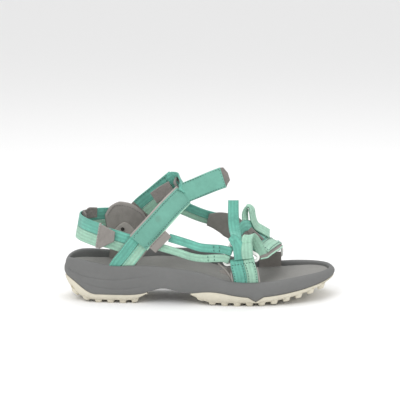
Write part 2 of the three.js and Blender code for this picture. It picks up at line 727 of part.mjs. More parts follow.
function buildToeFastening() {
  const frontBar = (share) => between(ringPoint(OUTER_RING.top), ringPoint(OUTER_RING.front), share);
  const down = [-0.5, 0, -0.87];
  const rear = [-1, 0, 0.05];
  const tealRoute = [
    [34.2, -31, 69.6],
    [34.9, -37.6, 68],
    [36.4, -43.6, 65.2],
    ...turnRound(frontBar(0.215), down, [0, -1, 0]),
    [38, -36.6, 61],
  ];
  piece('toe_turn_teal', band({
    route: tealRoute,
    across: tealRoute.map((_, i) => (i < 2 ? [1, 0, 0] : [0.87, 0, -0.5])),
    low: -4.2,
    high: 4.2,
    lift: -WEBBING / 2,
    steps: 26,
  }), TEAL);
  const steep = [-0.35, 0, -0.94];
  const mintRoute = [
    [59, -35, 48.6], [55.6, -35.6, 57], [51.6, -37, 65], [48.6, -40, 68.6], [48.2, -43.8, 66.4],
    [48.8, -45.5, 61.4],
    ...turnRound(frontBar(0.53), steep, [0, -1, 0]), [46.6, -38, 52],
  ];
  piece('toe_turn_mint', band({
    route: mintRoute,
    across: mintRoute.map((_, i) => (i < 5 ? [0.98, 0, 0.1] : [0.94, 0, -0.35])),
    low: -4.4,
    high: 4.4,
    lift: -WEBBING / 2,
    steps: 34,
  }), MINT);
  piece('toe_flap_teal', band({
    route: [[33.8, -29.4, 72], [33, -24.5, 77], [32.6, -20.5, 86.6], [32.6, -18, 99.6]],
    across: [rear, rear, rear, rear], low: -5.7, high: 5.7, lift: 0, steps: 8,
  }), TEAL);
  const mintFlap = [
    [45, -10, 77], [44.6, -8.6, 86], [47, -7.6, 90.6], [50.6, -6.6, 88], [52.4, -5.4, 79.6],
    [55.8, -3.4, 71.6], [62.6, 0, 66.5], [69, 3, 62.2],
  ];
  const lean = [
    [0.5, 0.85, 0.1], [0.5, 0.85, 0.1], [0.5, 0.85, 0.1], [0.5, 0.85, 0.1], [0.48, 0.85, 0.15],
    [0.4, 0.85, 0.3], [0.3, 0.85, 0.42], [0.3, 0.85, 0.42],
  ];
  piece(
    'toe_flap_mint',
    band({ route: mintFlap, across: lean, low: -5.6, high: 5.6, lift: -WEBBING / 2, steps: 26 }),
    MINT,
  );
}

// ---------------------------------------------------------------- inner side of the forefoot

const INNER_RING = { centre: [71.6, 42, 35.8], half: [12.4, 4.8] };

function buildInnerForefoot() {
  const { centre, half } = INNER_RING;
  piece('inner_ring', ring({
    corners: [[-half[0], -half[1]], [half[0], -half[1]], [half[0], half[1]], [-half[0], half[1]]],
    round: 2.6, centre, right: [-1, 0, 0], up: [0, 0, 1],
  }), RING_WHITE, 0.4);
  const lowBar = moved(centre, [0, 0, -half[1]]);
  const anchorRoute = [
    [71.8, 42.8, 13.6],
    [71.8, 43, 20],
    ...turnRound(lowBar, [0, 0, 1], [0, 1, 0]).slice(0, 4),
    [71.7, 39.2, 28.5],
  ];
  const across = anchorRoute.map(() => [1, 0, 0]);
  const pair = { route: anchorRoute, across, lift: -WEBBING / 2, steps: 22 };
  piece('inner_anchor_webbing_mint', band({ ...pair, low: GAP / 2, high: 10 }), MINT);
  piece('inner_anchor_webbing_teal', band({ ...pair, low: -10, high: -GAP / 2 }), TEAL);
  piece('inner_anchor_backing', band({
    route: [[71.8, 39.6, 13.6], [71.8, 38.9, 22], [71.7, 36.4, 32], [71.6, 35.4, 36]],
    across: [[1, 0, 0], [1, 0, 0], [1, 0, 0], [1, 0, 0]],
    low: -11.4,
    high: 11.4,
    thickness: BACKING,
    steps: 8,
  }), SYNTHETIC);
  const highBar = moved(centre, [0, 0, half[1]]);
  const turn = [[71.5, 36.8, 44], ...turnRound(highBar, [0, 0, -1], [0, -1, 0]), [71.5, 44.6, 46]];
  piece('toe_turn_inner', band({
    route: turn, across: turn.map(() => [1, 0, 0]), low: -10, high: 10, lift: -WEBBING / 2, steps: 24,
  }), TEAL);
  piece('inner_wing', band({
    route: [[8, 34, 70], [18, 35.2, 68], [30, 36, 63], [43, 36.6, 52.5], [54, 37, 41]],
    across: [
      [-0.3, 0, -0.95], [-0.35, 0, -0.94], [-0.5, 0, -0.86], [-0.65, 0, -0.76], [-0.7, 0, -0.71],
    ],
    low: along([-6, -10, -13, -11, -7]),
    high: along([6, 9, 12, 10.5, 8]),
    thickness: BACKING,
    steps: 12,
  }), SYNTHETIC);
}

buildSole();
buildOuterQuarter();
buildInnerQuarter();
buildInstepRing();
buildInstepFlap();
buildHeelStrap();
buildCollar();
buildOuterAnchor();
buildOuterRing();
buildSideStraps();
buildToePad();
buildToeFastening();
buildInnerForefoot();

export default sandal;
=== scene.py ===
"""Strappy sport sandal for the right foot: its looks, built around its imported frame.

Lengths in the tables are millimetres, in the frame's own axes: toe towards +X, outer side towards -Y, +Z up.
"""

import math

import bpy
import numpy as np
from bpy.props import FloatProperty, FloatVectorProperty, PointerProperty
from bpy.types import Operator, Panel, PropertyGroup
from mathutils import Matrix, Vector


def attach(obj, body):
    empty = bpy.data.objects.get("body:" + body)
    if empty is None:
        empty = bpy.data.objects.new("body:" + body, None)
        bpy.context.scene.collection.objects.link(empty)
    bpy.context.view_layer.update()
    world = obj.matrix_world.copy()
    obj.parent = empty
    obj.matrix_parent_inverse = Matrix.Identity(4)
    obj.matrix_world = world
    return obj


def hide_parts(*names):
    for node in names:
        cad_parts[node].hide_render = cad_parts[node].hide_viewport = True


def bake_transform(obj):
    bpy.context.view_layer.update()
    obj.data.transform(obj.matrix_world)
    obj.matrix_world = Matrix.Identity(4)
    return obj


bl_info = {
    "name": "Strappy sport sandal",
    "version": (1, 0, 0),
    "blender": (4, 5, 0),
    "location": "View3D > Sidebar > Sandal",
    "description": "Builds the straps, sole and trim of a sport sandal around its packed frame",
    "category": "Object",
}

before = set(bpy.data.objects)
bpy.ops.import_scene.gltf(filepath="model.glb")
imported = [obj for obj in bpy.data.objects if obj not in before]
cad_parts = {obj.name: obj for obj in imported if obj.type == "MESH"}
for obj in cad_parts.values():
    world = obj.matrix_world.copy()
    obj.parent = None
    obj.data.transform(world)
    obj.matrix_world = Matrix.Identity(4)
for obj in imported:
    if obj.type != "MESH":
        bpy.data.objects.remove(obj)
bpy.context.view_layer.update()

MM = 0.001
SOLE_HALF_LENGTH = 135.0
# The sole's skins stop just short of its very ends, where their end sections would have no width.
TIP = 134.9998
# How far the top of the foam's rim is drawn in from the outline.
RIM_INSET = 6.0

# ---------------------------------------------------------------- curves and frames


def unit(vectors):
    """Each row divided by its own length."""
    return vectors / np.linalg.norm(vectors, axis=-1, keepdims=True)


def neighbours(knots, share):
    """The four knots round each share of a list, from 0 to 1, and how far it is between the middle two."""
    knots = np.asarray(knots, float)
    place = np.clip(share, 0, 1) * (len(knots) - 1)
    i = np.minimum(place.astype(int), len(knots) - 2)
    ends = np.vstack([2 * knots[0] - knots[1], knots, 2 * knots[-1] - knots[-2]])
    return ends[i], ends[i + 1], ends[i + 2], ends[i + 3], (place - i)[:, None]


def hermite(b, c, slope_b, slope_c, t):
    """Cubic from b to c with the given slopes at its ends."""
    rise = 3 * t**2 - 2 * t**3
    return b + rise * (c - b) + (t**3 - 2 * t**2 + t) * slope_b + (t**3 - t**2) * slope_c


def smooth_curve(knots, share):
    """Curve through the knots: cubics whose slopes at a knot weigh its two chords by the roots of their
    lengths."""
    a, b, c, d, t = neighbours(knots, share)
    ab, bc, cd = (np.sqrt(np.linalg.norm(q - p, axis=1, keepdims=True)) for p, q in ((a, b), (b, c), (c, d)))
    slope_b = bc * ((b - a) / ab - (c - a) / (ab + bc) + (c - b) / bc)
    slope_c = bc * ((c - b) / bc - (d - b) / (bc + cd) + (d - c) / cd)
    return hermite(b, c, slope_b, slope_c, t)


def smooth_values(knots, share, tension=0.3):
    """Values through the knots: cubics whose slope at a knot is tension times the step between its
    neighbours."""
    a, b, c, d, t = neighbours(knots, share)
    return hermite(b, c, tension * (c - a), tension * (d - b), t)


def walked(points):
    """Distance gone along a line of points at each of them."""
    return np.concatenate([[0], np.cumsum(np.linalg.norm(np.diff(points, axis=0), axis=1))])


def along(values, share):
    """A list of numbers read at each share from 0 to 1, straight between entries. A plain number stays
    itself."""
    values = np.atleast_1d(np.asarray(values, float))
    return np.interp(share, np.linspace(0, 1, len(values)), values)


def strap_frame(route, across, share):
    """Centre, sideways and outward directions of a strap: sideways is across made square to the route's
    tangent, and outward is tangent x sideways."""
    step = 1e-3
    centre = smooth_curve(route, share)
    ahead = smooth_curve(route, np.minimum(share + step, 1)) - smooth_curve(route,
        np.maximum(share - step, 0))
    tangent = unit(ahead)
    wide = smooth_values(across, share)
    wide = unit(wide - (wide * tangent).sum(1, keepdims=True) * tangent)
    return centre, wide, np.cross(tangent, wide)


# ---------------------------------------------------------------- meshes


def build_mesh(name, points, faces, weave=None, edge=None, sharp=50):
    """Mesh from points in millimetres and arrays of faces, turned outwards if its signed volume is
    negative."""
    points = np.asarray(points, float) * MM
    volume = sum(
        np.einsum("ij,ij->", points[f[:, 0]], np.cross(points[f[:, k]], points[f[:, k + 1]]))
        for f in faces
        for k in range(1, f.shape[1] - 1)
    )
    if volume < 0:
        faces = [f[:, ::-1] for f in faces]
    mesh = bpy.data.meshes.new(name)
    corners = np.concatenate([f.ravel() for f in faces]).astype(np.int32)
    sizes = np.concatenate([np.full(len(f), f.shape[1]) for f in faces])
    mesh.vertices.add(len(points))
    mesh.vertices.foreach_set("co", points.ravel())
    mesh.loops.add(len(corners))
    mesh.loops.foreach_set("vertex_index", corners)
    mesh.polygons.add(len(sizes))
    mesh.polygons.foreach_set("loop_start", (np.cumsum(sizes) - sizes).astype(np.int32))
    mesh.update(calc_edges=True)
    if weave is not None:
        layer = mesh.uv_layers.new(name="weave")
        layer.data.foreach_set("uv", (np.asarray(weave, float) * MM)[corners].ravel())
    if edge is not None:
        mesh.attributes.new("edge", "FLOAT", "POINT").data.foreach_set("value", np.asarray(edge, np.float32))
    mesh.validate()
    mesh.shade_smooth()
    mesh.set_sharp_from_angle(angle=math.radians(sharp))
    piece = bpy.data.objects.new(name, mesh)
    bpy.context.scene.collection.objects.link(piece)
    return piece


def skin_faces(rows, cols, closed):
    """Faces over a grid of points whose sections are loops. An open skin gets a fan of triangles at each end,
    round the two points that follow the grid's own."""
    count = rows if closed else rows - 1
    i, j = np.meshgrid(np.arange(count), np.arange(cols), indexing="ij")
    here, ahead, turn = i * cols, ((i + 1) % rows) * cols, (j + 1) % cols
    quads = np.stack([here + j, here + turn, ahead + turn, ahead + j], -1).reshape(-1, 4)
    if closed:
        return [quads]
    j = np.arange(cols)
    turn = (j + 1) % cols
    last = (rows - 1) * cols
    first_fan = np.stack([np.full(cols, rows * cols), turn, j], 1)
    last_fan = np.stack([np.full(cols, rows * cols + 1), last + j, last + turn], 1)
    return [quads, np.concatenate([first_fan, last_fan])]


def skin(name, grid, weave=None, edge=None, closed=False, sharp=50):
    """Closed skin over a grid of looped sections, with its ends drawn together at their middles."""
    rows, cols = grid.shape[:2]

    def flat(values):
        """The grid's values as one list, with the mean of each end section added to an open skin."""
        values = values.reshape(rows * cols, -1)
        if closed:
            return values
        return np.concatenate([values, values[:cols].mean(0)[None], values[-cols:].mean(0)[None]])

    return build_mesh(
        name,
        flat(grid),
        skin_faces(rows, cols, closed),
        None if weave is None else flat(weave),
        None if edge is None else flat(edge)[:, 0],
        sharp,
    )


def copies(name, frames, shape, sharp=50):
    """Many copies of one small closed shape: each of its points is the copy's origin plus its three
    coordinates along the copy's own three axes. frames holds each copy's origin and axes, and shape is a
    grid of looped sections."""
    rows, cols = shape.shape[:2]
    ends = np.stack([shape[0].mean(0), shape[-1].mean(0)])
    local = np.concatenate([shape.reshape(-1, 3), ends])
    points = frames[:, None, 0] + np.einsum("pk,nkc->npc", local, frames[:, 1:])
    step = np.arange(len(frames))[:, None, None] * len(local)
    faces = [(f[None] + step).reshape(-1, f.shape[1]) for f in skin_faces(rows, cols, False)]
    return build_mesh(name, points.reshape(-1, 3), faces, sharp=sharp)


def band_section(flat_steps=10, edge_steps=4):
    """Loop round a flat band: share across, roundness towards the low or high edge, and share through it.
    The flats run straight across and the edges are half circles."""
    flat = np.linspace(0, 1, flat_steps)
    turn = np.linspace(-math.pi / 2, math.pi / 2, edge_steps + 2)[1:-1]
    v = np.concatenate([flat[::-1], np.zeros(edge_steps), flat, np.ones(edge_steps)])
    round_ = np.concatenate([np.zeros(flat_steps), -np.cos(turn), np.zeros(flat_steps), np.cos(turn)])
    w = np.concatenate([np.ones(flat_steps), 0.5 - 0.5 * np.sin(turn), np.zeros(flat_steps),
        0.5 + 0.5 * np.sin(turn)])
    return v, round_, w


def ribbon(name, route, across, low, high, thickness=1.4, lift=0.0, start=0.0, end=1.0, rows=90, crown=0.0,
           ripple=None, flat_steps=10):
    """Strap along a route: a flat band's loop carried in the strap's frame, from low to high across it and
    from lift to lift + thickness out of it. Crown swells its outer face by a parabola across the width, and
    ripple(share, v) shifts it outwards."""
    share = np.linspace(start, end, rows)
    own = np.linspace(0, 1, rows)
    centre, wide, out = strap_frame(route, across, share)
    v, round_, w = (part[None, :] for part in band_section(flat_steps))
    low = along(low, own)[:, None]
    high = along(high, own)[:, None]
    radius = thickness / 2
    side = low + radius + (high - low - thickness) * v + radius * round_
    rise = lift + thickness * w + crown * w * (1 - (2 * v - 1) ** 2)
    if ripple is not None:
        rise = rise + ripple(own[:, None], v)
    grid = centre[:, None] + wide[:, None] * side[..., None] + out[:, None] * rise[..., None]
    weave = np.stack(np.broadcast_arrays(walked(centre)[:, None], side), -1)
    edge = np.broadcast_to(np.clip(np.abs(2 * v - 1) + np.abs(round_) * 0.1, 0, 1.1), side.shape)
    return skin(name, grid, weave, np.array(edge))


def seam_frames(route, across, lines, height, pitch):
    """Where stitches sit on a strap: each line is a list of (share, side) points, walked in equal steps of
    pitch, and a stitch's axes are the line's direction, the strap's outward direction crossed with it, and
    that outward direction."""
    found = []
    for line in lines:
        line = np.asarray(line, float)
        fine = np.linspace(0, 1, 400)
        share = np.interp(fine, np.linspace(0, 1, len(line)), line[:, 0])
        side = np.interp(fine, np.linspace(0, 1, len(line)), line[:, 1])
        centre, wide, out = strap_frame(route, across, share)
        path = centre + wide * side[:, None] + out * height
        gone = walked(path)
        count = max(2, int(gone[-1] / pitch))
        at = (np.arange(count) + 0.5) * gone[-1] / count
        index = np.clip(np.searchsorted(gone, at), 1, len(fine) - 2)
        run = unit(path[index + 1] - path[index - 1])
        up = out[index]
        up = unit(up - (up * run).sum(1, keepdims=True) * run)
        found.append(np.stack([path[index], run, np.cross(up, run), up], 1))
    return np.concatenate(found)


def rounded_square(turn, power):
    """Cosine and sine of an angle, each raised to a power below 1, which squares the circle up."""
    cosine, sine = np.cos(turn), np.sin(turn)
    return np.sign(cosine) * np.abs(cosine) ** power, np.sign(sine) * np.abs(sine) ** power


def stitch_shape(length, radius):
    """One stitch: an ellipse carried along its length, thickest in the middle and sunk at both ends."""
    reach = np.linspace(-1, 1, 7)
    turn = np.linspace(0, 2 * math.pi, 6, endpoint=False)
    girth = radius * np.sqrt(np.clip(1.02 - reach**4, 0.02, 1))[:, None]
    return np.stack(np.broadcast_arrays(
        (reach * length / 2)[:, None],
        girth * np.cos(turn),
        girth * np.sin(turn) - (0.6 * radius * reach**2)[:, None],
    ), -1)


# How much of its pitch a stitch fills.
STITCH_SHARE = 0.78


def stitches(name, route, across, lines, height):
    """A row of stitches along each line of a strap."""
    sizes = bpy.context.scene.sandal_sizes
    pitch = sizes.stitch_pitch / MM
    shape = stitch_shape(pitch * STITCH_SHARE, sizes.thread_radius / MM)
    return copies(name, seam_frames(route, across, lines, height, pitch), shape)


# ---------------------------------------------------------------- node groups and materials


def feed(tree, node, inputs):
    """Links or sets each named input of a node."""
    for key, value in inputs.items():
        if isinstance(value, bpy.types.NodeSocket):
            tree.links.new(value, node.inputs[key])
        else:
            node.inputs[key].default_value = value


def add(tree, kind, inputs=None, **settings):
    """A node of a kind, with plain values or links for its inputs."""
    node = tree.nodes.new(kind)
    for key, value in settings.items():
        setattr(node, key, value)
    feed(tree, node, inputs or {})
    return node


def maths(tree, operation, *values):
    """A Math node's result."""
    return add(tree, "ShaderNodeMath", dict(enumerate(values)), operation=operation).outputs[0]


# The Mix node's sockets when it mixes colours.
MIX_SHARE, MIX_A, MIX_B, MIX_RESULT = 0, 6, 7, 2


def mix_colour(tree, share, a, b):
    """Colour between a and b."""
    node = add(tree, "ShaderNodeMix", data_type="RGBA")
    feed(tree, node, {MIX_SHARE: share, MIX_A: a, MIX_B: b})
    return node.outputs[MIX_RESULT]


def group(name, inputs, outputs):
    """An empty node group with float or vector sockets, as (tree, its inputs, its output node)."""
    tree = bpy.data.node_groups.new(name, "ShaderNodeTree")
    for key, default in inputs.items():
        kind = "NodeSocketVector" if default is None else "NodeSocketFloat"
        socket = tree.interface.new_socket(key, in_out="INPUT", socket_type=kind)
        if default is not None:
            socket.default_value = default
    for key in outputs:
        tree.interface.new_socket(key, in_out="OUTPUT", socket_type="NodeSocketFloat")
    return tree, tree.nodes.new("NodeGroupInput").outputs, tree.nodes.new("NodeGroupOutput").inputs


def use(tree, name, inputs):
    """A placed copy of a node group."""
    node = tree.nodes.new("ShaderNodeGroup")
    node.node_tree = bpy.data.node_groups[name]
    feed(tree, node, inputs)
    return node.outputs


def make_weave_group():
    """Woven yarns: a sine along the strap, shifted half a yarn from row to row, times a sine across it."""
    tree, given, result = group("Weave", {"Vector": None, "Warp": 0.0009, "Weft": 0.0011, "Rib": 0.0034},
                                ("Height", "Rib"))
    split = add(tree, "ShaderNodeSeparateXYZ", {0: given["Vector"]}).outputs
    row = maths(tree, "DIVIDE", split["Y"], given["Warp"])
    column = maths(tree, "DIVIDE", split["X"], given["Weft"])
    shifted = maths(tree, "ADD", column, maths(tree, "MULTIPLY", maths(tree, "FLOOR", row), 0.5))
    yarn = maths(tree, "SINE", maths(tree, "MULTIPLY", shifted, 2 * math.pi))
    furrow = maths(tree, "ABSOLUTE", maths(tree, "SINE", maths(tree, "MULTIPLY", row, math.pi)))
    height = maths(tree, "MULTIPLY", furrow, maths(tree, "MULTIPLY_ADD", yarn, 0.35, 0.65))
    rib = maths(tree, "SINE", maths(tree, "MULTIPLY", maths(tree, "DIVIDE", split["Y"], given["Rib"]),
        2 * math.pi))
    tree.links.new(height, result["Height"])
    tree.links.new(maths(tree, "MULTIPLY_ADD", rib, 0.5, 0.5), result["Rib"])


def make_fade_group():
    """Uneven wear: two noises, a broad and a fine one, stretched to a mask from 0 to 1."""
    tree, given, result = group("Fade", {"Vector": None, "Scale": 60.0, "Contrast": 1.6}, ("Mask",))
    broad = add(tree, "ShaderNodeTexNoise", {"Vector": given["Vector"], "Scale": given["Scale"],
        "Detail": 3.0})
    fine = add(tree, "ShaderNodeTexNoise", {
        "Vector": given["Vector"], "Scale": maths(tree, "MULTIPLY", given["Scale"], 6.0), "Detail": 4.0,
    })
    both = maths(tree, "MULTIPLY_ADD", fine.outputs[0], 0.4, maths(tree, "MULTIPLY", broad.outputs[0], 0.6))
    centred = maths(tree, "MULTIPLY", maths(tree, "SUBTRACT", both, 0.5), given["Contrast"])
    mask = add(tree, "ShaderNodeClamp", {"Value": maths(tree, "MULTIPLY_ADD", centred, 2.0, 0.5)})
    tree.links.new(mask.outputs[0], result["Mask"])


def make_grain_group():
    """Moulded or leathery grain: cell walls of a fine cell pattern over a finer noise."""
    tree, given, result = group("Grain", {"Vector": None, "Scale": 900.0, "Cells": 0.5}, ("Height",))
    cells = add(tree, "ShaderNodeTexVoronoi", {"Vector": given["Vector"], "Scale": given["Scale"]})
    noise = add(tree, "ShaderNodeTexNoise", {
        "Vector": given["Vector"], "Scale": maths(tree, "MULTIPLY", given["Scale"], 2.0), "Detail": 2.0,
    })
    walls = maths(tree, "MULTIPLY", cells.outputs["Distance"], given["Cells"])
    tree.links.new(maths(tree, "ADD", walls, maths(tree, "MULTIPLY", noise.outputs[0], 0.5)),
        result["Height"])


def make_dust_group():
    """Dirt that gathers near the ground: falls off with height above Z = 0 and is broken up by noise."""
    tree, given, result = group("Dust", {"Vector": None, "Reach": 0.012}, ("Mask",))
    height = add(tree, "ShaderNodeSeparateXYZ", {0: given["Vector"]}).outputs["Z"]
    low = maths(tree, "SUBTRACT", 1.0, maths(tree, "DIVIDE", height, given["Reach"]))
    noise = add(tree, "ShaderNodeTexNoise", {"Vector": given["Vector"], "Scale": 130.0, "Detail": 5.0})
    mask = maths(tree, "MULTIPLY", maths(tree, "MAXIMUM", low, 0.08), noise.outputs[0])
    tree.links.new(add(tree, "ShaderNodeClamp", {"Value": mask}).outputs[0], result["Mask"])


def start_material(name, roughness, sheen=0.0, specular=0.5):
    """An empty material's tree and its Principled node, with the plain values on the node's own sockets."""
    material = bpy.data.materials.new(name)
    material.use_nodes = True
    tree = material.node_tree
    shader = tree.nodes["Principled BSDF"]
    shader.inputs["Roughness"].default_value = roughness
    shader.inputs["Sheen Weight"].default_value = sheen
    shader.inputs["Sheen Roughness"].default_value = 0.5
    shader.inputs["Specular IOR Level"].default_value = specular
    return material, tree, shader


def finish_bump(tree, shader, height, distance, strength=1.0):
    """Bump from a height in shares of a distance."""
    bump = add(tree, "ShaderNodeBump", {"Height": height, "Distance": distance, "Strength": strength})
    tree.links.new(bump.outputs[0], shader.inputs["Normal"])


def shade(colour, factor):
    """A colour made lighter or darker."""
    return (*(min(1.0, channel * factor) for channel in colour[:3]), 1.0)


# A webbing's pale dots: metres from one to the next, then where their row lies and half its width, as
# shares of the way from the strap's middle to its edge. Its darker rim starts at the last share.
DOT_PITCH = 0.0026
DOTS_AT = 0.86
DOTS_HALF_WIDTH = 0.05
RIM_FROM = 0.95


def make_webbing(name, colour, pale):
    """Woven strap: yarn relief with painted shade in its hollows, faint ribs along it, sun-faded patches and
    a denser, darker edge.
    """
    material, tree, shader = start_material(name, 0.82, sheen=0.25, specular=0.25)
    uv = add(tree, "ShaderNodeUVMap", uv_map="weave").outputs[0]
    place = add(tree, "ShaderNodeTexCoord").outputs["Object"]
    weave = use(tree, "Weave", {"Vector": uv})
    fade = use(tree, "Fade", {"Vector": place, "Scale": 70.0})
    edge = add(tree, "ShaderNodeAttribute", attribute_name="edge").outputs["Fac"]
    body = mix_colour(tree, fade["Mask"], shade(colour, 0.88), pale)
    ribbed = mix_colour(tree, maths(tree, "MULTIPLY", weave["Rib"], 0.4), body, shade(colour, 0.68))
    # Painted shade: where the weave's height is low, in its hollows, the colour is darkened towards a deeper
    # tone.
    shaded_hollows = mix_colour(tree, maths(tree, "MULTIPLY", maths(tree, "SUBTRACT", 1.0, weave["Height"]), 0.3),
                        ribbed, shade(colour, 0.55))
    run = add(tree, "ShaderNodeSeparateXYZ", {0: uv}).outputs["X"]
    beat = maths(tree, "SINE", maths(tree, "MULTIPLY", run, 2 * math.pi / DOT_PITCH))
    near_edge = maths(tree, "COMPARE", edge, DOTS_AT, DOTS_HALF_WIDTH)
    dots = maths(tree, "MULTIPLY", near_edge, maths(tree, "MULTIPLY_ADD", beat, 0.3, 0.25))
    dotted = mix_colour(tree, add(tree, "ShaderNodeClamp", {"Value": dots}).outputs[0], shaded_hollows, pale)
    rim = maths(tree, "MULTIPLY", maths(tree, "GREATER_THAN", edge, RIM_FROM), 0.35)
    tree.links.new(mix_colour(tree, rim, dotted, shade(colour, 0.6)), shader.inputs["Base Color"])
    relief = maths(tree, "MULTIPLY_ADD", weave["Rib"], 0.5, weave["Height"])
    finish_bump(tree, shader, relief, 0.00025)
    return material


def make_velour(name, colour, stain_at=None):
    """Short pile: brushed light and dark patches, lint specks and, where asked, one small stain."""
    material, tree, shader = start_material(name, 0.95, sheen=0.35, specular=0.12)
    place = add(tree, "ShaderNodeTexCoord").outputs["Object"]
    brushed = use(tree, "Fade", {"Vector": place, "Scale": 45.0, "Contrast": 1.4})
    pile = add(tree, "ShaderNodeTexNoise", {"Vector": place, "Scale": 1500.0, "Detail": 3.0}).outputs[0]
    body = mix_colour(tree, brushed["Mask"], shade(colour, 0.86), shade(colour, 1.12))
    body = mix_colour(tree, maths(tree, "MULTIPLY", pile, 0.35), body, shade(colour, 1.35))
    if stain_at is not None:
        away = add(tree, "ShaderNodeVectorMath", {0: place, 1: stain_at},
            operation="DISTANCE").outputs["Value"]
        noise = add(tree, "ShaderNodeTexNoise", {"Vector": place, "Scale": 300.0}).outputs[0]
        rough = maths(tree, "MULTIPLY_ADD", noise, 0.004, away)
        spot = add(tree, "ShaderNodeMapRange",
            {"Value": rough, 1: 0.0065, 2: 0.0035, 3: 0.0, 4: 0.45}).outputs[0]
        body = mix_colour(tree, spot, body, (0.13, 0.17, 0.14, 1.0))
    tree.links.new(body, shader.inputs["Base Color"])
    finish_bump(tree, shader, pile, 0.0004)
    return material


def make_grained(name, colour, roughness, scale, depth, worn, cells=0.5, specular=0.4, dusty=0.0, dust=None):
    """Foam, synthetic leather, rubber or plastic: grain relief, worn patches and, low down, dust."""
    material, tree, shader = start_material(name, roughness, specular=specular)
    place = add(tree, "ShaderNodeTexCoord").outputs["Object"]
    grain = use(tree, "Grain", {"Vector": place, "Scale": scale, "Cells": cells})
    fade = use(tree, "Fade", {"Vector": place, "Scale": 40.0, "Contrast": 1.2})
    body = mix_colour(tree, fade["Mask"], shade(colour, 1 - worn), shade(colour, 1 + worn))
    if dusty:
        dirt = use(tree, "Dust", {"Vector": place})
        body = mix_colour(tree, maths(tree, "MULTIPLY", dirt["Mask"], dusty), body, dust)
    tree.links.new(body, shader.inputs["Base Color"])
    rough = maths(tree, "MULTIPLY_ADD", fade["Mask"], 0.12, roughness - 0.06)
    tree.links.new(rough, shader.inputs["Roughness"])
    finish_bump(tree, shader, grain["Height"], depth)
    return material


def make_thread(name, colour):
    """Sewing thread: its twist shows as fine diagonal bands."""
    material, tree, shader = start_material(name, 0.7, sheen=0.2)
    place = add(tree, "ShaderNodeTexCoord").outputs["Object"]
    twist = add(tree, "ShaderNodeTexWave", {"Vector": place, "Scale": 900.0},
        bands_direction="DIAGONAL").outputs[1]
    tree.links.new(mix_colour(tree, twist, shade(colour, 0.8), shade(colour, 1.1)),
        shader.inputs["Base Color"])
    finish_bump(tree, shader, twist, 0.0001)
    return material


def material(name):
    """A finish by its name, once the finishes are made."""
    return bpy.data.materials[name]


# ---------------------------------------------------------------- placing pieces


def place(piece, finish, nodes=(), slot=None, body="sandal", blend=None):
    """Gives a piece its finish and its body, or bakes its transform in place when it has a blend, and hides
    the nodes it stands for.
    """
    piece.data.materials.clear()
    piece.data.materials.append(material(finish))
    if blend is None:
        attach(piece, body)
    else:
        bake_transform(piece)
    if nodes:
        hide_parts(*nodes)
    return piece


def refinish(node, finish):
    """Gives a carried-over CAD node its finish."""
    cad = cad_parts[node]
    cad.data.materials.clear()
    cad.data.materials.append(material(finish))


# The slot that each finish of a strap or its trim fills.
SLOTS = {
    "Webbing teal": "webbing_teal",
    "Webbing mint": "webbing_mint",
    "Pile pad": "velour_teal",
    "Pile flap": "velour_teal",
    **dict.fromkeys(("Synthetic", "Edge tape", "Hook tab", "Painted shadow", "Tag"), "synthetic_grey"),
}


def sew(name, finish, nodes=(), slot=None, body="sandal", blend=None, **shape):
    """A ribbon of the given shape, placed with its finish; the slot, its finish's unless another is given, is
    not used.
    """
    return place(ribbon(name, **shape), finish, nodes, slot or SLOTS[finish], body, blend)


def seam(name, thread, body="sandal", **shape):
    """Rows of stitches along a strap, placed in their thread."""
    return place(stitches(name, **shape), thread, body=body)


def runs(start, end, *sides):
    """Straight lines of stitches along a strap, one at each side, all from start to end."""
    return [[(start, side), (end, side)] for side in sides]


def crossing(share, first, last):
    """A line of stitches across a strap."""
    return [(share, first), (share, last)]


CLOTH_FRAMES = 20
CLOTH_PRESSURE = 4
PAD_SWELL_CAP = 0.0008
COLLAR_SWELL_CAP = 0.0016


def swell(piece, cap):
    """Puffs a closed pad up: cloth under inner pressure and no gravity for 20 frames, after which no
    point has moved further than cap."""
    scene = bpy.context.scene
    cloth = piece.modifiers.new("Cloth", "CLOTH")
    cloth.settings.quality = 6
    cloth.settings.mass = 0.3
    cloth.settings.use_pressure = True
    cloth.settings.uniform_pressure_force = CLOTH_PRESSURE
    cloth.settings.effector_weights.gravity = 0
    cloth.collision_settings.use_collision = False
    for number in range(1, CLOTH_FRAMES + 1):
        scene.frame_set(number)
    shaped = piece.evaluated_get(bpy.context.evaluated_depsgraph_get())
    count = len(piece.data.vertices)
    after = np.empty(count * 3, np.float32)
    before = np.empty(count * 3, np.float32)
    shaped.data.vertices.foreach_get("co", after)
    piece.data.vertices.foreach_get("co", before)
    move = (after - before).reshape(-1, 3)
    far = np.linalg.norm(move, axis=1, keepdims=True)
    move *= np.minimum(1, cap / np.maximum(far, 1e-9))
    piece.modifiers.remove(cloth)
    scene.frame_set(1)
    piece.data.vertices.foreach_set("co", before + move.ravel())
    piece.data.update()


# ---------------------------------------------------------------- sole

OUTLINE = np.array([
    [-135, -1], [-131, -16], [-116, -29], [-90, -34], [-50, -37], [-10, -42], [30, -48], [55, -48.5],
    [80, -45], [105, -35], [124, -19], [134, 0], [135, 12], [131, 26], [119, 38], [98, 46],
    [70, 48.5], [45, 43], [18, 34], [-20, 27], [-60, 28], [-95, 31], [-118, 26], [-131, 14],
], float)


def outline_sides():
    """The sole's outer and inner edges as tables of x and y: the closed curve through the outline's knots,
    parted at its rearmost and foremost points."""
    loop = np.vstack([OUTLINE, OUTLINE, OUTLINE])
    third = np.linspace(1 / 3, 2 / 3, 1200) * len(loop) / (len(loop) - 1)
    curve = smooth_curve(loop, third)
    rear = curve[:, 0].argmin()
    curve = np.roll(curve[:-1], -rear, axis=0)
    front = curve[:, 0].argmax()
    outer = curve[: front + 1]
    inner = np.vstack([curve[front:], curve[:1]])[::-1]
    outer = outer[np.argsort(outer[:, 0], kind="stable")]
    inner = inner[np.argsort(inner[:, 0], kind="stable")]
    return outer, inner


OUTER_EDGE, INNER_EDGE = outline_sides()


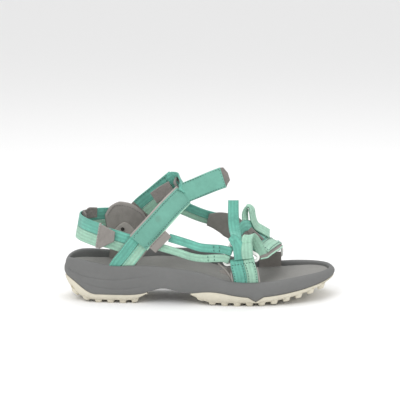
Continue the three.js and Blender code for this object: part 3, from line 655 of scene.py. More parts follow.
def profile(*knots):
    """Height as a smooth function of x: the curve through the knots, looked up by x."""
    table = smooth_curve(np.array(knots, float), np.linspace(0, 1, 16 * len(knots)))
    return lambda x: np.interp(x, table[:, 0], table[:, 1])


# The foam's lower edge: its height in the middle, and how far it sweeps up at the heel and the toe, arches
# at the waist and swells at the ball of the foot.
FOAM_EDGE = 8.5
HEEL_SWEEP = 15.0
TOE_SPRING = 13.0
ARCH_RISE = 7.0
BALL_SWELL = 5.0
# The tread plates: the height of their lowest faces, the gap over them, the least thickness, and where the
# heel plate ends and the forefoot plate starts.
TREAD_FLOOR = 3.1
TREAD_GAP = 0.15
THINNEST_TREAD = 0.6
HEEL_TREAD_END = -52
FORE_TREAD_START = -9.2
# The V notch: its place, half its width, and its depth.
NOTCH_AT = 54.0
NOTCH_HALF = 7.5
NOTCH_DEPTH = 4.6
# The footbed's thickness, its rough width, and the depth of the recess that holds it.
FOOTBED = 4.0
FOOTBED_WIDTH = 80
RECESS = 4.6
# Drawing the outline in by this much would close it to a line.
INSET_WIDTH = 45

lateral_rim = profile((-135, 34), (-131, 39), (-122, 41), (-110, 40), (-85, 35.5), (-60, 36.5), (-40, 35.5),
                      (0, 31), (30, 23), (60, 22), (100, 26), (135, 27.5))
medial_rim = profile((-135, 34), (-131, 39), (-122, 41.5), (-110, 41), (-85, 39), (-40, 42), (0, 40),
    (45, 27), (75, 24), (100, 25.5), (135, 27.5))
footbed_height = profile((-135, 34), (-110, 30.5), (-80, 29), (-40, 29.5), (0, 26), (30, 20.4), (60, 19.6),
                         (90, 21.2), (115, 24), (135, 25.4))
upper_groove = profile((-135, 33), (-115, 26.5), (-85, 23), (-60, 26), (-40, 29))
lower_groove = profile((-125, 23), (-100, 15.5), (-75, 14), (-50, 18))


def bell(x, middle, width):
    """A smooth hump of height 1."""
    return np.exp(-(((x - middle) / width) ** 2))


def ramp(x, start, end):
    """Smooth step from 0 at start to 1 at end."""
    t = np.clip((x - start) / (end - start), 0, 1)
    return t * t * (3 - 2 * t)


def climb(x, start, end, power=2.0):
    """Goes from 0 at start to 1 at end, as a power of the share of the way, and stays level past both."""
    return np.clip((x - start) / (end - start), 0, 1) ** power


def parting(x):
    """Lower edge of the foam: level, swept up at the heel and the toe, arched at the waist and raised by
    a swell at the ball."""
    heel = HEEL_SWEEP * ramp(-x, 102, 134)
    arch = ARCH_RISE * bell(x, -36, 17)
    ball = BALL_SWELL * bell(x, 10, 24)
    return FOAM_EDGE + heel + arch + ball + TOE_SPRING * climb(x, 50, 135, 1.5)


def heel_tread(x):
    """Face of the heel's tread: level, and rising to both ends."""
    return TREAD_FLOOR + 18 * climb(x, -104, -135) + 6.4 * climb(x, -72, -53)


def fore_tread(x):
    """Face of the forefoot's tread: level, and rising to both ends."""
    return TREAD_FLOOR + 7 * climb(x, 12, -9, 1.5) + 16.8 * climb(x, 52, 135, 1.6)


def heel_lug_tip(x):
    """Height of the heel lugs' worn tips."""
    return 6.6 * climb(x, -98, -122) + 4.5 * climb(x, -70, -56)


def fore_lug_tip(x):
    """Height of the forefoot lugs' worn tips."""
    return 5.5 * climb(x, 18, -2, 1.5) + 13.6 * climb(x, 50, 126, 1.6)


def notch(x, v):
    """How far the foam dips into the tread in its V notch under the ball of the foot, at the two sides."""
    side = ramp(np.abs(2 * v - 1), 0.8, 0.97)
    return NOTCH_DEPTH * side * np.clip(1 - np.abs(x - NOTCH_AT) / NOTCH_HALF, 0, 1)


def footbed_top(x, v):
    """Footbed height: a long profile, cupped by the square of the distance from the middle, with an arch
    lift."""
    cup = np.where(x < 0, 4.5 - 1.5 * np.clip((x + 100) / 100, 0, 1), 3 - 2.4 * np.clip(x / 45, 0, 1))
    arch = 4 * bell(x, -25, 38) * v * v
    return footbed_height(x) + cup * (2 * v - 1) ** 2 - 0.6 + arch


def edges_at(x):
    """The sole's outer and inner edges at x."""
    return np.interp(x, *OUTER_EDGE.T), np.interp(x, *INNER_EDGE.T)


def sole_place(sweep, v, inset):
    """Plan position in the sole's outline: sweep from heel to toe and v from the outer to the inner edge,
    both drawn in by inset."""
    x = sweep * (SOLE_HALF_LENGTH - inset)
    nominal = np.interp(sweep, [-1, 1], OUTER_EDGE[[0, -1], 0])
    low, high = edges_at(nominal)
    half = (high - low) / 2 * (1 - inset / INSET_WIDTH)
    return x, (low + high) / 2 + (2 * v - 1) * half


def sweeps(x0, x1, rows):
    """Stations along the sole, crowded towards its tips as a sine is."""
    first, last = (math.asin(max(-1, min(1, x / SOLE_HALF_LENGTH))) for x in (x0, x1))
    return np.sin(np.linspace(first, last, rows))[:, None]


def sole_skin(name, x0, x1, rows, section, height, inset, sharp=50):
    """Body in the sole's outline: its loop gives v and a second share at every point, and height(x, v, w)
    and inset(x, v, w) place it."""
    v, w = (part[None, :] for part in section)
    sweep = sweeps(x0, x1, rows)
    nominal = sweep * SOLE_HALF_LENGTH + 0 * v
    drawn = inset(nominal, v, w)
    x, y = sole_place(sweep, v, drawn)
    grid = np.stack([x, y, height(x, v, w) + 0 * x], -1)
    return skin(name, grid, closed=False, sharp=sharp)


def side_section(bottom_steps, side_steps, top_steps):
    """Loop round the sole: along the bottom, up the outer side, over the top and down the inner side. The
    second share is 0 at the base and 1 at the top."""
    bottom = np.linspace(1, 0, bottom_steps)
    rise = np.linspace(0, 1, side_steps + 2)[1:-1]
    top = np.linspace(0, 1, top_steps)
    v = np.concatenate([bottom, np.zeros(side_steps), top, np.ones(side_steps)])
    w = np.concatenate([np.zeros(bottom_steps), rise, np.ones(top_steps), rise[::-1]])
    return v, w


class Midsole:
    """The foam midsole's loop runs on over the rim and down into the recess under the footbed."""

    ACROSS = 17
    SIDE = 54
    RIM = 12
    DROP = 5

    def section(self):
        """v and w: w from 0 to 1 climbs the side, 1 to 2 crosses the rim and 2 to 3 drops to the recess."""
        bottom = np.linspace(1, 0, self.ACROSS)
        climb = np.linspace(0, 1, self.SIDE)[1:]
        rim = np.linspace(1, 2, self.RIM)[1:]
        drop = np.linspace(2, 3, self.DROP)[1:]
        floor = np.linspace(0, 1, self.ACROSS)[1:-1]
        up = np.concatenate([climb, rim, drop])
        v = np.concatenate([bottom, np.zeros(len(up)), floor, np.ones(len(up))])
        w = np.concatenate([np.zeros(self.ACROSS), up, np.full(len(floor), 3.0), up[::-1]])
        return v, w

    def height(self, x, v, w):
        """Parting line, then the rim's rounded top, then the recess floor."""
        base = parting(x) - notch(x, v)
        rim = np.where(v < 0.5, lateral_rim(x), medial_rim(x))
        climb = base + (rim - base) * np.clip(w, 0, 1)
        crest = 1.5 * np.sin(np.clip(w - 1, 0, 1) * math.pi) * ramp(w, 1, 1.01)
        floor = footbed_top(x, v) - RECESS
        return climb + crest + (floor - rim) * np.clip(w - 2, 0, 1)

    def inset(self, x, v, w):
        """Full at mid height, tucked in at the base and towards the rim, with pressed grooves along the
        heel."""
        tuck = np.interp(w, [0, 0.08, 0.2, 0.36, 0.55, 0.75, 0.9, 1, 1.5, 2, 3],
                         [1.9, 1.0, 0.35, 0.05, 0, 0.3, 0.9, 1.5, 3.8, RIM_INSET, RIM_INSET + 0.3])
        base = parting(x)
        rim = np.where(v < 0.5, lateral_rim(x), medial_rim(x))
        z = base + (rim - base) * np.clip(w, 0, 1)
        side = (w > 0) * (w < 1)
        depth = bpy.context.scene.sandal_sizes.groove_depth / MM
        high = bell(z, upper_groove(x), 0.8) * ramp(-x, 44, 64)
        low = bell(z, lower_groove(x), 0.8) * ramp(-x, 50, 66) * ramp(x, -122, -110)
        return tuck + side * depth * (high + low)


def tread_inset(x, v, w):
    """The tread stands a little proud of the foam and rounds in underneath."""
    return np.interp(w, [0, 0.25, 0.6, 1], [2.6, 1.3, 0.9, 1.3]) + 0 * x * v


# Tread lugs: half their length along the sole, the gap between neighbours, how far their roots reach into
# the plate, how far either side of a lug its slope is read, the gap to the sole's edges, and the power
# that squares them up.
LUG_HALF_LENGTH = 4.2
LUG_GAP = 2.2
LUG_ROOT = 1.2
LUG_LEAN = 3
LUG_EDGE_GAP = 1.0
LUG_SQUARENESS = 0.42
# Where each row of lugs is, and how many it has.
HEEL_LUGS = ((-123, 2), (-111.5, 3), (-99.5, 4), (-87.5, 4), (-75.5, 4), (-63.5, 4))
FORE_LUGS = ((0, 4), *((x, 5) for x in range(12, 108, 12)), (108, 4), (119, 3))


def lug_fields(rows, tip, tread):
    """Frames of the tread lugs: one row of like blocks across the sole at each x, each with its own three
    axes scaled to its length, width and height."""
    found = []
    for x, count in rows:
        low, high = edges_at(x)
        pitch = (high - low - 2 * LUG_EDGE_GAP) / count
        y = low + LUG_EDGE_GAP + (np.arange(count) + 0.5) * pitch
        foot = np.maximum(tip(x), 0.0)
        origin = np.stack([np.full(count, x), y, np.full(count, foot)], 1)
        rise = tread(x) + LUG_ROOT - foot
        slope = (tread(x + LUG_LEAN) - tread(x - LUG_LEAN)) / (2 * LUG_LEAN)
        axes = np.array([
            [LUG_HALF_LENGTH, 0, LUG_HALF_LENGTH * slope],
            [0, (pitch - LUG_GAP) / 2, 0],
            [0, 0, rise],
        ])
        found.append(np.concatenate([origin[:, None], np.repeat(axes[None], count, 0)], 1))
    return np.concatenate(found)


def lug_shape():
    """One lug, tip down: rounded rectangles that widen from the worn tip to the root."""
    turn = np.linspace(0, 2 * math.pi, 20, endpoint=False)
    ring = np.stack(rounded_square(turn, LUG_SQUARENESS), 1)
    level = np.array([0.0, 0.04, 0.14, 0.5, 1.0])
    size = np.array([[0.60, 0.86], [0.70, 0.93], [0.76, 0.96], [0.88, 0.98], [1.06, 1.0]])
    flat = ring[None] * size[:, None]
    return np.concatenate([flat, np.broadcast_to(level[:, None, None], (5, 20, 1))], 2)


class SANDAL_OT_sole(Operator):
    """Build the foam midsole, the footbed, the two tread plates and their lugs"""

    bl_idname = "sandal.sole"
    bl_label = "Sole"

    def execute(self, context):
        foam = Midsole()
        midsole = sole_skin("midsole_foam", -TIP, TIP, 300, foam.section(), foam.height, foam.inset, 60)
        place(midsole, "Foam", ["midsole"], "eva_midsole")
        self.footbed()
        self.tread("heel_tread", -TIP, HEEL_TREAD_END, 90, heel_tread, ["heel_outsole"],
                   lug_fields(HEEL_LUGS, heel_lug_tip, heel_tread))
        self.tread("forefoot_tread", FORE_TREAD_START, TIP, 170, fore_tread, ["forefoot_outsole"],
                   lug_fields(FORE_LUGS, fore_lug_tip, fore_tread))
        refinish("arch_shank", "Shank")
        refinish("heel_shock_pad", "Gel")
        return {"FINISHED"}

    def footbed(self):
        """Thin cushioned layer: rounded down to the rim all round, with a pressed line inside its edge."""
        def height(x, v, w):
            """Its flat base, and above it a top that rolls down at the edge, less the pressed line."""
            edge = np.minimum(v, 1 - v) * FOOTBED_WIDTH
            roll = 1.3 * np.exp(-edge / 0.9)
            line = 0.35 * bell(edge, 6.5, 0.7) * ramp(x, 40, 70)
            return footbed_top(x, v) - FOOTBED + (FOOTBED + 0.4 - roll - line) * w

        def inset(x, v, w):
            """Just inside the foam's rim, drawn in a little more at the top."""
            return RIM_INSET + 0.15 + 0.5 * w + 0 * x * v

        piece = sole_skin("footbed_cushion", -TIP, TIP, 240, side_section(9, 3, 120), height, inset, 60)
        place(piece, "Footbed", ["footbed"], "footbed_eva")

    def tread(self, name, x0, x1, rows, base, nodes, lugs):
        """Rubber plate under the foam, from its tread face up to the parting line."""
        def height(x, v, w):
            """From the tread face to just under the foam, never thinner than the thinnest rubber."""
            top = parting(x) - notch(x, v) - TREAD_GAP
            low = np.minimum(base(x), top - THINNEST_TREAD)
            return low + (top - low) * w

        plate = sole_skin(name, x0, x1, rows, side_section(25, 10, 25), height, tread_inset, 60)
        place(plate, "Tread rubber", nodes, "rubber_tread")
        studs = copies(f"{name}_lugs", lugs, lug_shape(), 40)
        place(studs, "Tread rubber", slot="rubber_tread")


# ---------------------------------------------------------------- strap routes

# Layers of a strap, from the foot outwards: the gap between two layers, and their thicknesses.
GAP = 0.3
WEBBING = 1.4
BACKING = 1.0
LAYER_1 = BACKING + GAP
LAYER_2 = LAYER_1 + WEBBING + GAP
MIDDLE = -WEBBING / 2
SEAM_RISE = 0.1

OUTER_QUARTER = dict(
    route=[[-83, -27.6, 19], [-79.5, -27.9, 33], [-69, -30.4, 47.5], [-58.5, -30.4, 61], [-44, -25, 76],
           [-29.5, -13.5, 90.5], [-17.5, 0.5, 100.8]],
    across=[[-0.79, 0, 0.61], [-0.79, 0, 0.61], [-0.77, 0, 0.63], [-0.74, 0.05, 0.675], [-0.7, 0.1, 0.7],
            [-0.62, 0.15, 0.77], [-0.526, 0.188, 0.83]],
)
INNER_QUARTER = dict(
    route=[[-81.5, 23.4, 19], [-78.8, 23.5, 42], [-71.6, 27.9, 58], [-62, 28.6, 78], [-43, 22.8, 96],
           [-23.5, 15.6, 113.3]],
    across=[[0.95, 0, -0.3], [0.93, 0, -0.36], [0.84, 0, -0.54], [0.72, 0, -0.69], [0.66, 0, -0.75],
            [0.66, 0, -0.75]],
)
HEEL_BAND = dict(
    route=[[-76.5, 25.6, 71.2], [-88, 25, 72], [-102, 21.2, 72.5], [-114, 13, 72.5], [-119.6, -1, 72.2],
           [-115.5, -14, 70.8], [-108.2, -22.2, 69.2], [-102, -26.2, 67.8], [-95.6, -29.4, 66.2]],
    across=[[0, 0, 1], [0, 0, 1], [0.05, 0, 1], [0.15, 0, 0.98], [0.19, 0, 0.98], [0.1, 0, 0.99],
            [-0.02, 0, 1], [-0.08, 0, 0.995], [-0.1, 0, 0.995]],
)
HEEL_TIP = dict(
    route=[[-99, -28, 67], [-95.5, -29.5, 66.2], [-90, -31.5, 65.4], [-83, -33.2, 64.4]],
    across=[[-0.1, 0, 0.995]] * 4,
)
HEEL_INNER = dict(
    route=[[-106, -19.6, 66.6], [-98, -24.4, 65], [-85, -28, 62.3], [-75, -28.8, 59.2], [-68.6, -28.5, 57.1]],
    across=[[0, 0, 1], [0, 0, 1], [0.15, 0, 0.98], [0.2, 0, 0.98], [0.2, 0, 0.98]],
)
INSTEP_FLAP = dict(route=[[-17.2, -1.4, 102.9], [-13.4, -1.2, 104.6], [-1, -1.2, 109.8],
    [10.4, -1.2, 114.6], [21.4, -1.2, 118.8], [28.4, -1.2, 121]], across=[[-0.5, 0.19, 0.85],
    [-0.45, 0.2, 0.87], [-0.4, 0.2, 0.89], [-0.35, 0.2, 0.92], [-0.33, 0.2, 0.92], [-0.33, 0.2, 0.92]],
    )
COLLAR = dict(route=[[-56, 25.2, 66], [-68, 24.9, 70], [-82, 22.8, 73], [-95, 18.2, 71]],
    across=[[0, 0, 1]] * 4)

RING_BAR = 2.8
RING_SQUARENESS = 0.7
LOOP_RADIUS = 2.1
OUTER_RING_CENTRE = np.array([36, -42.2, 50])
INNER_RING_CENTRE = np.array([71.6, 42, 35.8])
INNER_RING_HALF = 4.8
RING_TOP = np.array([-5.4, 0, 14.6])
RING_REAR = np.array([-14.6, 0, -10.2])
RING_FRONT = np.array([27, 0, -4])


def turn_round(bar, ahead, out):
    """Points of a strap's turn round a bar: in on one face, round past it and out on the other."""
    wide = RING_BAR / 2 + LOOP_RADIUS
    steps = np.array([[-1, wide], [wide * 0.75, wide * 0.72], [wide * 1.06, 0],
        [wide * 0.75, -wide * 0.72], [-1, -wide]])
    return (bar + steps[:, :1] * np.array(ahead, float) + steps[:, 1:] * np.array(out, float)).tolist()


def on_ring(a, b, share):
    """A point of the outer ring's bar, at a share from its corner a to its corner b."""
    return OUTER_RING_CENTRE + a + (b - a) * share


WAVE_TWIST = 1.2


def wave(size, cycles, phase=0.0):
    """Slack in a strap: a sine along it, fuller towards its middle, twisted a little across it."""

    def ripple(share, v):
        """The outward shift at a share of the length and a share v of the width."""
        turn = 2 * math.pi * cycles * share + phase + WAVE_TWIST * v
        return size * np.sin(turn) * np.sin(math.pi * share)

    return ripple


class SANDAL_OT_outer_quarter(Operator):
    """Build the outer quarter strap: backing, two webbings, their seams and the blank label"""

    bl_idname = "sandal.outer_quarter"
    bl_label = "Outer quarter strap"

    def execute(self, context):
        sew("outer_quarter_lining", "Synthetic", ["outer_quarter_backing"], **OUTER_QUARTER,
            low=[-11.9, -11.6, -11.2], high=10.3, thickness=BACKING, end=0.6, rows=90)
        pair = dict(**OUTER_QUARTER, lift=LAYER_1, end=0.58, rows=110)
        sew("outer_quarter_strap_teal", "Webbing teal", ["outer_quarter_webbing_teal"], **pair,
            low=-0.53, high=10.2)
        sew("outer_quarter_strap_mint", "Webbing mint", ["outer_quarter_webbing_mint"], **pair,
            low=-10.2, high=-0.55)
        top = LAYER_1 + WEBBING + SEAM_RISE
        seam("outer_quarter_seams", "Thread teal", **OUTER_QUARTER,
            lines=runs(0.13, 0.5, -1.6, 0.7, 8.9, -8.8), height=top)
        label = dict(route=[[-46, -34.5, 53.5], [-38.5, -35, 61.5], [-30.5, -34.5, 69.5]],
            across=[[-0.75, 0, 0.66], [-0.75, 0, 0.66], [-0.75, 0.1, 0.66]])
        sew("blank_tag", "Tag", ["blank_label"], **label, low=-4, high=4.6, thickness=0.9, rows=24,
            crown=0.2)
        seam("blank_tag_seam", "Thread grey", **label, lines=runs(0.04, 0.96, 3.6), height=1.05)
        return {"FINISHED"}


class SANDAL_OT_instep_pad(Operator):
    """Build the pile pad that the instep flap closes on, with its bound edges and seams"""

    bl_idname = "sandal.instep_pad"
    bl_label = "Instep pad"

    def execute(self, context):
        crown = context.scene.sandal_sizes.pad_swell / MM
        start, end = 0.485, 0.985
        pad = ribbon("instep_pile_pad", **OUTER_QUARTER, low=-10, high=10, lift=LAYER_2 - 0.2,
            thickness=2.4, start=start, end=end, rows=120, crown=crown, flat_steps=28,
            ripple=lambda share, v: -0.35 * (bell(v, 0.1, 0.03) + bell(v, 0.9, 0.03)))
        swell(pad, PAD_SWELL_CAP)
        place(pad, "Pile pad", ["instep_pad"], "velour_teal")
        sew("instep_pad_under", "Synthetic", ["instep_pad_lining"], **OUTER_QUARTER, low=-9.8,
            high=11.3, lift=LAYER_2 - GAP - BACKING, thickness=BACKING, start=0.6, end=0.93, rows=60)
        rim = dict(**OUTER_QUARTER, lift=LAYER_2 + 0.2, thickness=1.5, start=start, end=end, rows=120,
            flat_steps=3)
        sew("instep_pad_binding_front", "Binding", slot="webbing_mint", **rim, low=-10.9, high=-9.2)
        sew("instep_pad_binding_back", "Edge tape", **rim, low=9.3, high=11.4)
        rim.update(start=end - 0.012, end=end + 0.012, rows=12)
        sew("instep_pad_binding_top", "Edge tape", **rim, low=-9.6, high=11.2)
        first = start + 0.012
        seam("instep_pad_seams", "Thread dark teal", **OUTER_QUARTER,
            lines=[crossing(first, -8.3, 8.3), *runs(first, end - 0.01, 8, -8),
                   crossing(start + 0.05, -8, 8)], height=LAYER_2 + 2.4)
        return {"FINISHED"}


class SANDAL_OT_inner_quarter(Operator):
    """Build the inner quarter strap with its hook tab"""

    bl_idname = "sandal.inner_quarter"
    bl_label = "Inner quarter strap"

    def execute(self, context):
        sew("inner_quarter_lining", "Synthetic", ["inner_quarter_backing"], **INNER_QUARTER, low=-11.8,
            high=11.8, thickness=BACKING, end=0.64, rows=80)
        pair = dict(**INNER_QUARTER, lift=LAYER_1, rows=120)
        sew("inner_quarter_strap_teal", "Webbing teal", ["inner_quarter_webbing_teal"], **pair,
            low=-11.8, high=-0.01)
        sew("inner_quarter_strap_mint", "Webbing mint", ["inner_quarter_webbing_mint"], **pair,
            low=0.01, high=11.8)
        seam("inner_quarter_seams", "Thread dark teal", **INNER_QUARTER,
            lines=[*runs(0.3, 0.97, -10.4, 10.4), crossing(0.62, -10.4, 10.4),
                   crossing(0.94, -10.4, 10.4)], height=LAYER_1 - 0.1)
        tab = dict(route=[[-46.5, 9.5, 97], [-38, 9.5, 103], [-28.5, 9.5, 108.5]],
            across=[[0.3, -0.3, -0.9], [0.45, -0.3, -0.85], [0.5, -0.3, -0.8]])
        sew("instep_hook_tab", "Hook tab", ["instep_lining_tab"], **tab, low=-6, high=7, thickness=1.6,
            rows=40)
        fold = dict(**tab, lift=1.4, rows=30)
        # A near-black thin sheet on the hook tab paints the shadow inside its fold.
        sew("instep_hook_painted_shadow", "Painted shadow", **fold, low=-3.6, high=5.2, thickness=0.6, start=0.3,
            end=0.97)
        sew("instep_hook_fold", "Edge tape", **fold, low=-6.4, high=-3.4, thickness=1.5)
        return {"FINISHED"}


def ring_loop(corners, bend, arc_steps=10):
    """Rounded polygon: round every corner an arc of radius bend that touches its two sides."""
    corners = np.asarray(corners, float)
    before = unit(np.roll(corners, 1, 0) - corners)
    after = unit(np.roll(corners, -1, 0) - corners)
    half = np.arccos(np.clip((before * after).sum(1), -1, 1)) / 2
    centre = corners + unit(before + after) * (bend / np.sin(half))[:, None]
    first = np.arctan2(before[:, 0], -before[:, 1])
    angle = first[:, None] + (math.pi - 2 * half)[:, None] * np.linspace(0, 1, arc_steps)
    arc = centre[:, None] + bend * np.stack([np.cos(angle), np.sin(angle)], -1)
    return arc.reshape(-1, 2)


def ring(name, corners, bend, centre, right, up):
    """Moulded ring: a rounded square section carried round a rounded polygon in the plane of right and up."""
    right = unit(np.array(right, float))
    normal = unit(np.cross(right, up))
    rise = np.cross(normal, right)
    loop = ring_loop(corners, bend)
    tangent = unit(np.roll(loop, -1, 0) - np.roll(loop, 1, 0))
    outward = np.stack([tangent[:, 1], -tangent[:, 0]], 1)
    turn = np.linspace(0, 2 * math.pi, 16, endpoint=False)
    a, b = (RING_BAR / 2 * side for side in rounded_square(turn, RING_SQUARENESS))
    flat = loop[:, None] + outward[:, None] * a[None, :, None]
    grid = centre + flat[..., :1] * right + flat[..., 1:] * rise + b[None, :, None] * normal
    return skin(name, grid, closed=True)


class SANDAL_OT_rings(Operator):
    """Build the three moulded rings"""

    bl_idname = "sandal.rings"
    bl_label = "Rings"

    def execute(self, context):
        outer = ring("outer_ring_moulded", [RING_REAR[[0, 2]], RING_FRONT[[0, 2]], RING_TOP[[0, 2]]], 3.4,
                     OUTER_RING_CENTRE, [1, 0, 0], [0, 0, 1])
        place(outer, "Ring plastic", ["outer_ring"], "ring_plastic")
        wide, tall = 12.4, INNER_RING_HALF
        corners = [[-wide, -tall], [wide, -tall], [wide, tall], [-wide, tall]]
        inner = ring("inner_ring_moulded", corners, 2.6, INNER_RING_CENTRE, [-1, 0, 0],
                     [0, 0, 1])
        place(inner, "Ring plastic", ["inner_ring"], "ring_plastic")
        front, back = np.array([-16.6, 0.6, 101.4]), np.array([-21.8, 15.4, 114.8])
        right = unit(np.array([0.58, -0.14, -0.8]))
        rise = (back - front) - (back - front) @ right * right
        tall, half, skew = np.linalg.norm(rise) / 2, 8.8, 2
        corners = [[skew - half, -tall], [skew + half, -tall], [half - skew, tall], [-half - skew, tall]]
        # The instep ring is coloured dark grey as painted shade, not in the light ring plastic.
        instep = ring("instep_ring_moulded", corners, 3, (front + back) / 2, right, rise)
        place(instep, "Instep ring painted shade", ["instep_ring"], "ring_plastic")
        return {"FINISHED"}


class SANDAL_OT_instep_keeper(Operator):
    """Build the webbing that wraps the instep ring, over both of its long bars"""

    bl_idname = "sandal.instep_keeper"
    bl_label = "Instep keeper"

    def execute(self, context):
        route = [[-29, 17.8, 109.6], [-24.5, 17, 112], [-20, 14.5, 113], [-17, 8.5, 110.5], [-15, 2.5, 106.5],
                 [-14.5, -2, 102.5]]
        across = [[0.66, 0, -0.75], [0.64, 0, -0.77], [0.6, -0.1, -0.79], [0.58, -0.14, -0.8],
            [0.56, -0.16, -0.81], [0.53, -0.18, -0.83]]
        keeper = dict(route=route, across=across)
        sew("instep_keeper_teal", "Webbing teal", **keeper, low=[-11.4, -11, -8.6, -8.6, -9.4, -10],
            high=10.4, lift=0.3, rows=60)
        seam("instep_keeper_seam", "Thread dark teal", **keeper, lines=[crossing(0.14, -10.4, 9.4)],
            height=WEBBING + 0.4)
        return {"FINISHED"}


class SANDAL_OT_instep_flap(Operator):
    """Build the pile flap that peels open over the instep, rooted in the pad's fold"""

    bl_idname = "sandal.instep_flap"
    bl_label = "Instep flap"

    def execute(self, context):
        bend = ((-0.0168, -0.0014, 0.1031), (-0.0122, -0.0012, 0.1051))
        flap = ribbon("instep_pile_flap", **INSTEP_FLAP, low=[-9.9, -10.4], high=[10, 10.5],
            thickness=2.0, end=0.84, rows=100, crown=0.3, flat_steps=20, ripple=wave(0.4, 1.4))
        place(flap, "Pile flap", ["instep_flap"], "velour_teal", body="instep_flap", blend=bend)
        sew("instep_flap_end", "Hook tab", ["instep_flap_tip"], body="instep_flap", **INSTEP_FLAP,
            low=[-10.3, -7, -4.5], high=[10.3, 9.6, 3.2], lift=0.1, thickness=1.7, start=0.835, rows=30)
        seam("instep_flap_seams", "Thread dark teal", body="instep_flap", **INSTEP_FLAP,
            lines=[*runs(0.16, 0.82, 9, -9), crossing(0.815, -9, 9)], height=2.05)
        return {"FINISHED"}


class SANDAL_OT_heel_strap(Operator):
    """Build the two-tone heel band with its peeling end, and the inner band under it"""

    bl_idname = "sandal.heel_strap"
    bl_label = "Heel strap"

    def execute(self, context):
        bend = ((-0.1125, -0.0185, 0.0695), (-0.1045, -0.0248, 0.0685))
        pair = dict(**HEEL_BAND, rows=150, ripple=wave(0.35, 2.2))
        sew("heel_strap_teal", "Webbing teal", ["heel_band_teal", "heel_flap_teal"], body="heel_flap",
            blend=bend, **pair, low=0.01, high=[12.3, 12.3, 12.6, 12.3])
        sew("heel_strap_mint", "Webbing mint", ["heel_band_mint", "heel_flap_mint"], body="heel_flap",
            blend=bend, **pair, low=-12.3, high=-0.01)
        tip = dict(low=[-13, -12.4, -8, -3], high=[13, 12, 10, 7], lift=-0.4, thickness=2.4, rows=60)
        sew("heel_strap_tip", "Synthetic", ["heel_flap_tip"], body="heel_flap", **HEEL_TIP, **tip,
            flat_steps=16, ripple=lambda share, v: 0.9 * bell(share, 0.42 + 0.2 * v, 0.12))
        seam("heel_strap_tip_seam", "Thread grey", body="heel_flap", **HEEL_TIP,
            lines=[crossing(0.06, -11, 11)], height=2.1)
        hem = dict(low=-13, high=13, lift=-0.6, thickness=2.9, start=0, end=0.11, rows=10)
        sew("heel_strap_tip_hem", "Edge tape", body="heel_flap", **HEEL_TIP, **hem)
        inside = dict(
            route=[[-103, 18, 80.4], [-111, 10.6, 80.6], [-115.4, -1, 80.4], [-111.4, -12, 79.6]],
            across=[[0.05, 0, 1], [0.12, 0, 0.99], [0.19, 0, 0.98], [0.1, 0, 0.99]], rows=60)
        sew("heel_hook_strip", "Hook tab", low=-5, high=[5.4, 6.4, 5.2, 6.6, 5.4], thickness=1.4,
            **inside, ripple=wave(0.6, 3.4))
        sew("heel_inner_strap_teal", "Webbing teal", ["heel_inner_band_teal"], **HEEL_INNER,
            thickness=1.2, low=0.01, high=10.6, rows=60)
        sew("heel_inner_strap_mint", "Webbing mint", ["heel_inner_band_mint"], **HEEL_INNER,
            thickness=1.2, low=-9.4, high=-0.01, rows=60)
        return {"FINISHED"}


class SANDAL_OT_collar(Operator):
    """Build the padded heel collar with its tab and rivet"""

    bl_idname = "sandal.collar"
    bl_label = "Heel collar"

    def execute(self, context):
        pad = ribbon("heel_collar_cushion", **COLLAR, low=-13,
            high=[8.5, 13.6, 16.6, 18.2, 18.6, 15, 8], lift=-4.8, thickness=3.6, rows=60, crown=1.0,
            flat_steps=26)
        swell(pad, COLLAR_SWELL_CAP)
        place(pad, "Synthetic", ["heel_collar_pad"], "synthetic_grey")
        seam("heel_collar_seam", "Thread grey", **COLLAR,
            lines=[[(0.03, 6.6), (0.2, 11.2), (0.5, 14.4), (0.75, 15), (0.95, 7)]], height=-5)
        tab = dict(route=[[-66.5, 18.8, 60.5], [-76, 17.6, 64.5], [-85, 15.4, 62]], across=[[0, 0, 1]] * 3)
        sew("collar_patch", "Edge tape", ["collar_tab"], **tab, low=[-4, -5.5, -3.5],
            high=[2.5, 6.4, 2], lift=-0.4, thickness=1.2, rows=40, crown=0.3)
        refinish("collar_rivet", "Rivet")
        return {"FINISHED"}


def anchor_route():
    """The outer anchor comes up out of the sole, turns round the ring's low bar and goes down again
    inside itself."""
    bar = on_ring(RING_REAR, RING_FRONT, 0.47)
    up_axis = [-0.13, 0, 0.99]
    return [[44.8, -42.8, 13.4], [44.8, -43.4, 21], [43.6, -45.6, 32], *turn_round(bar, up_axis, [0, -1, 0]),
            [42.6, -39.8, 35]]


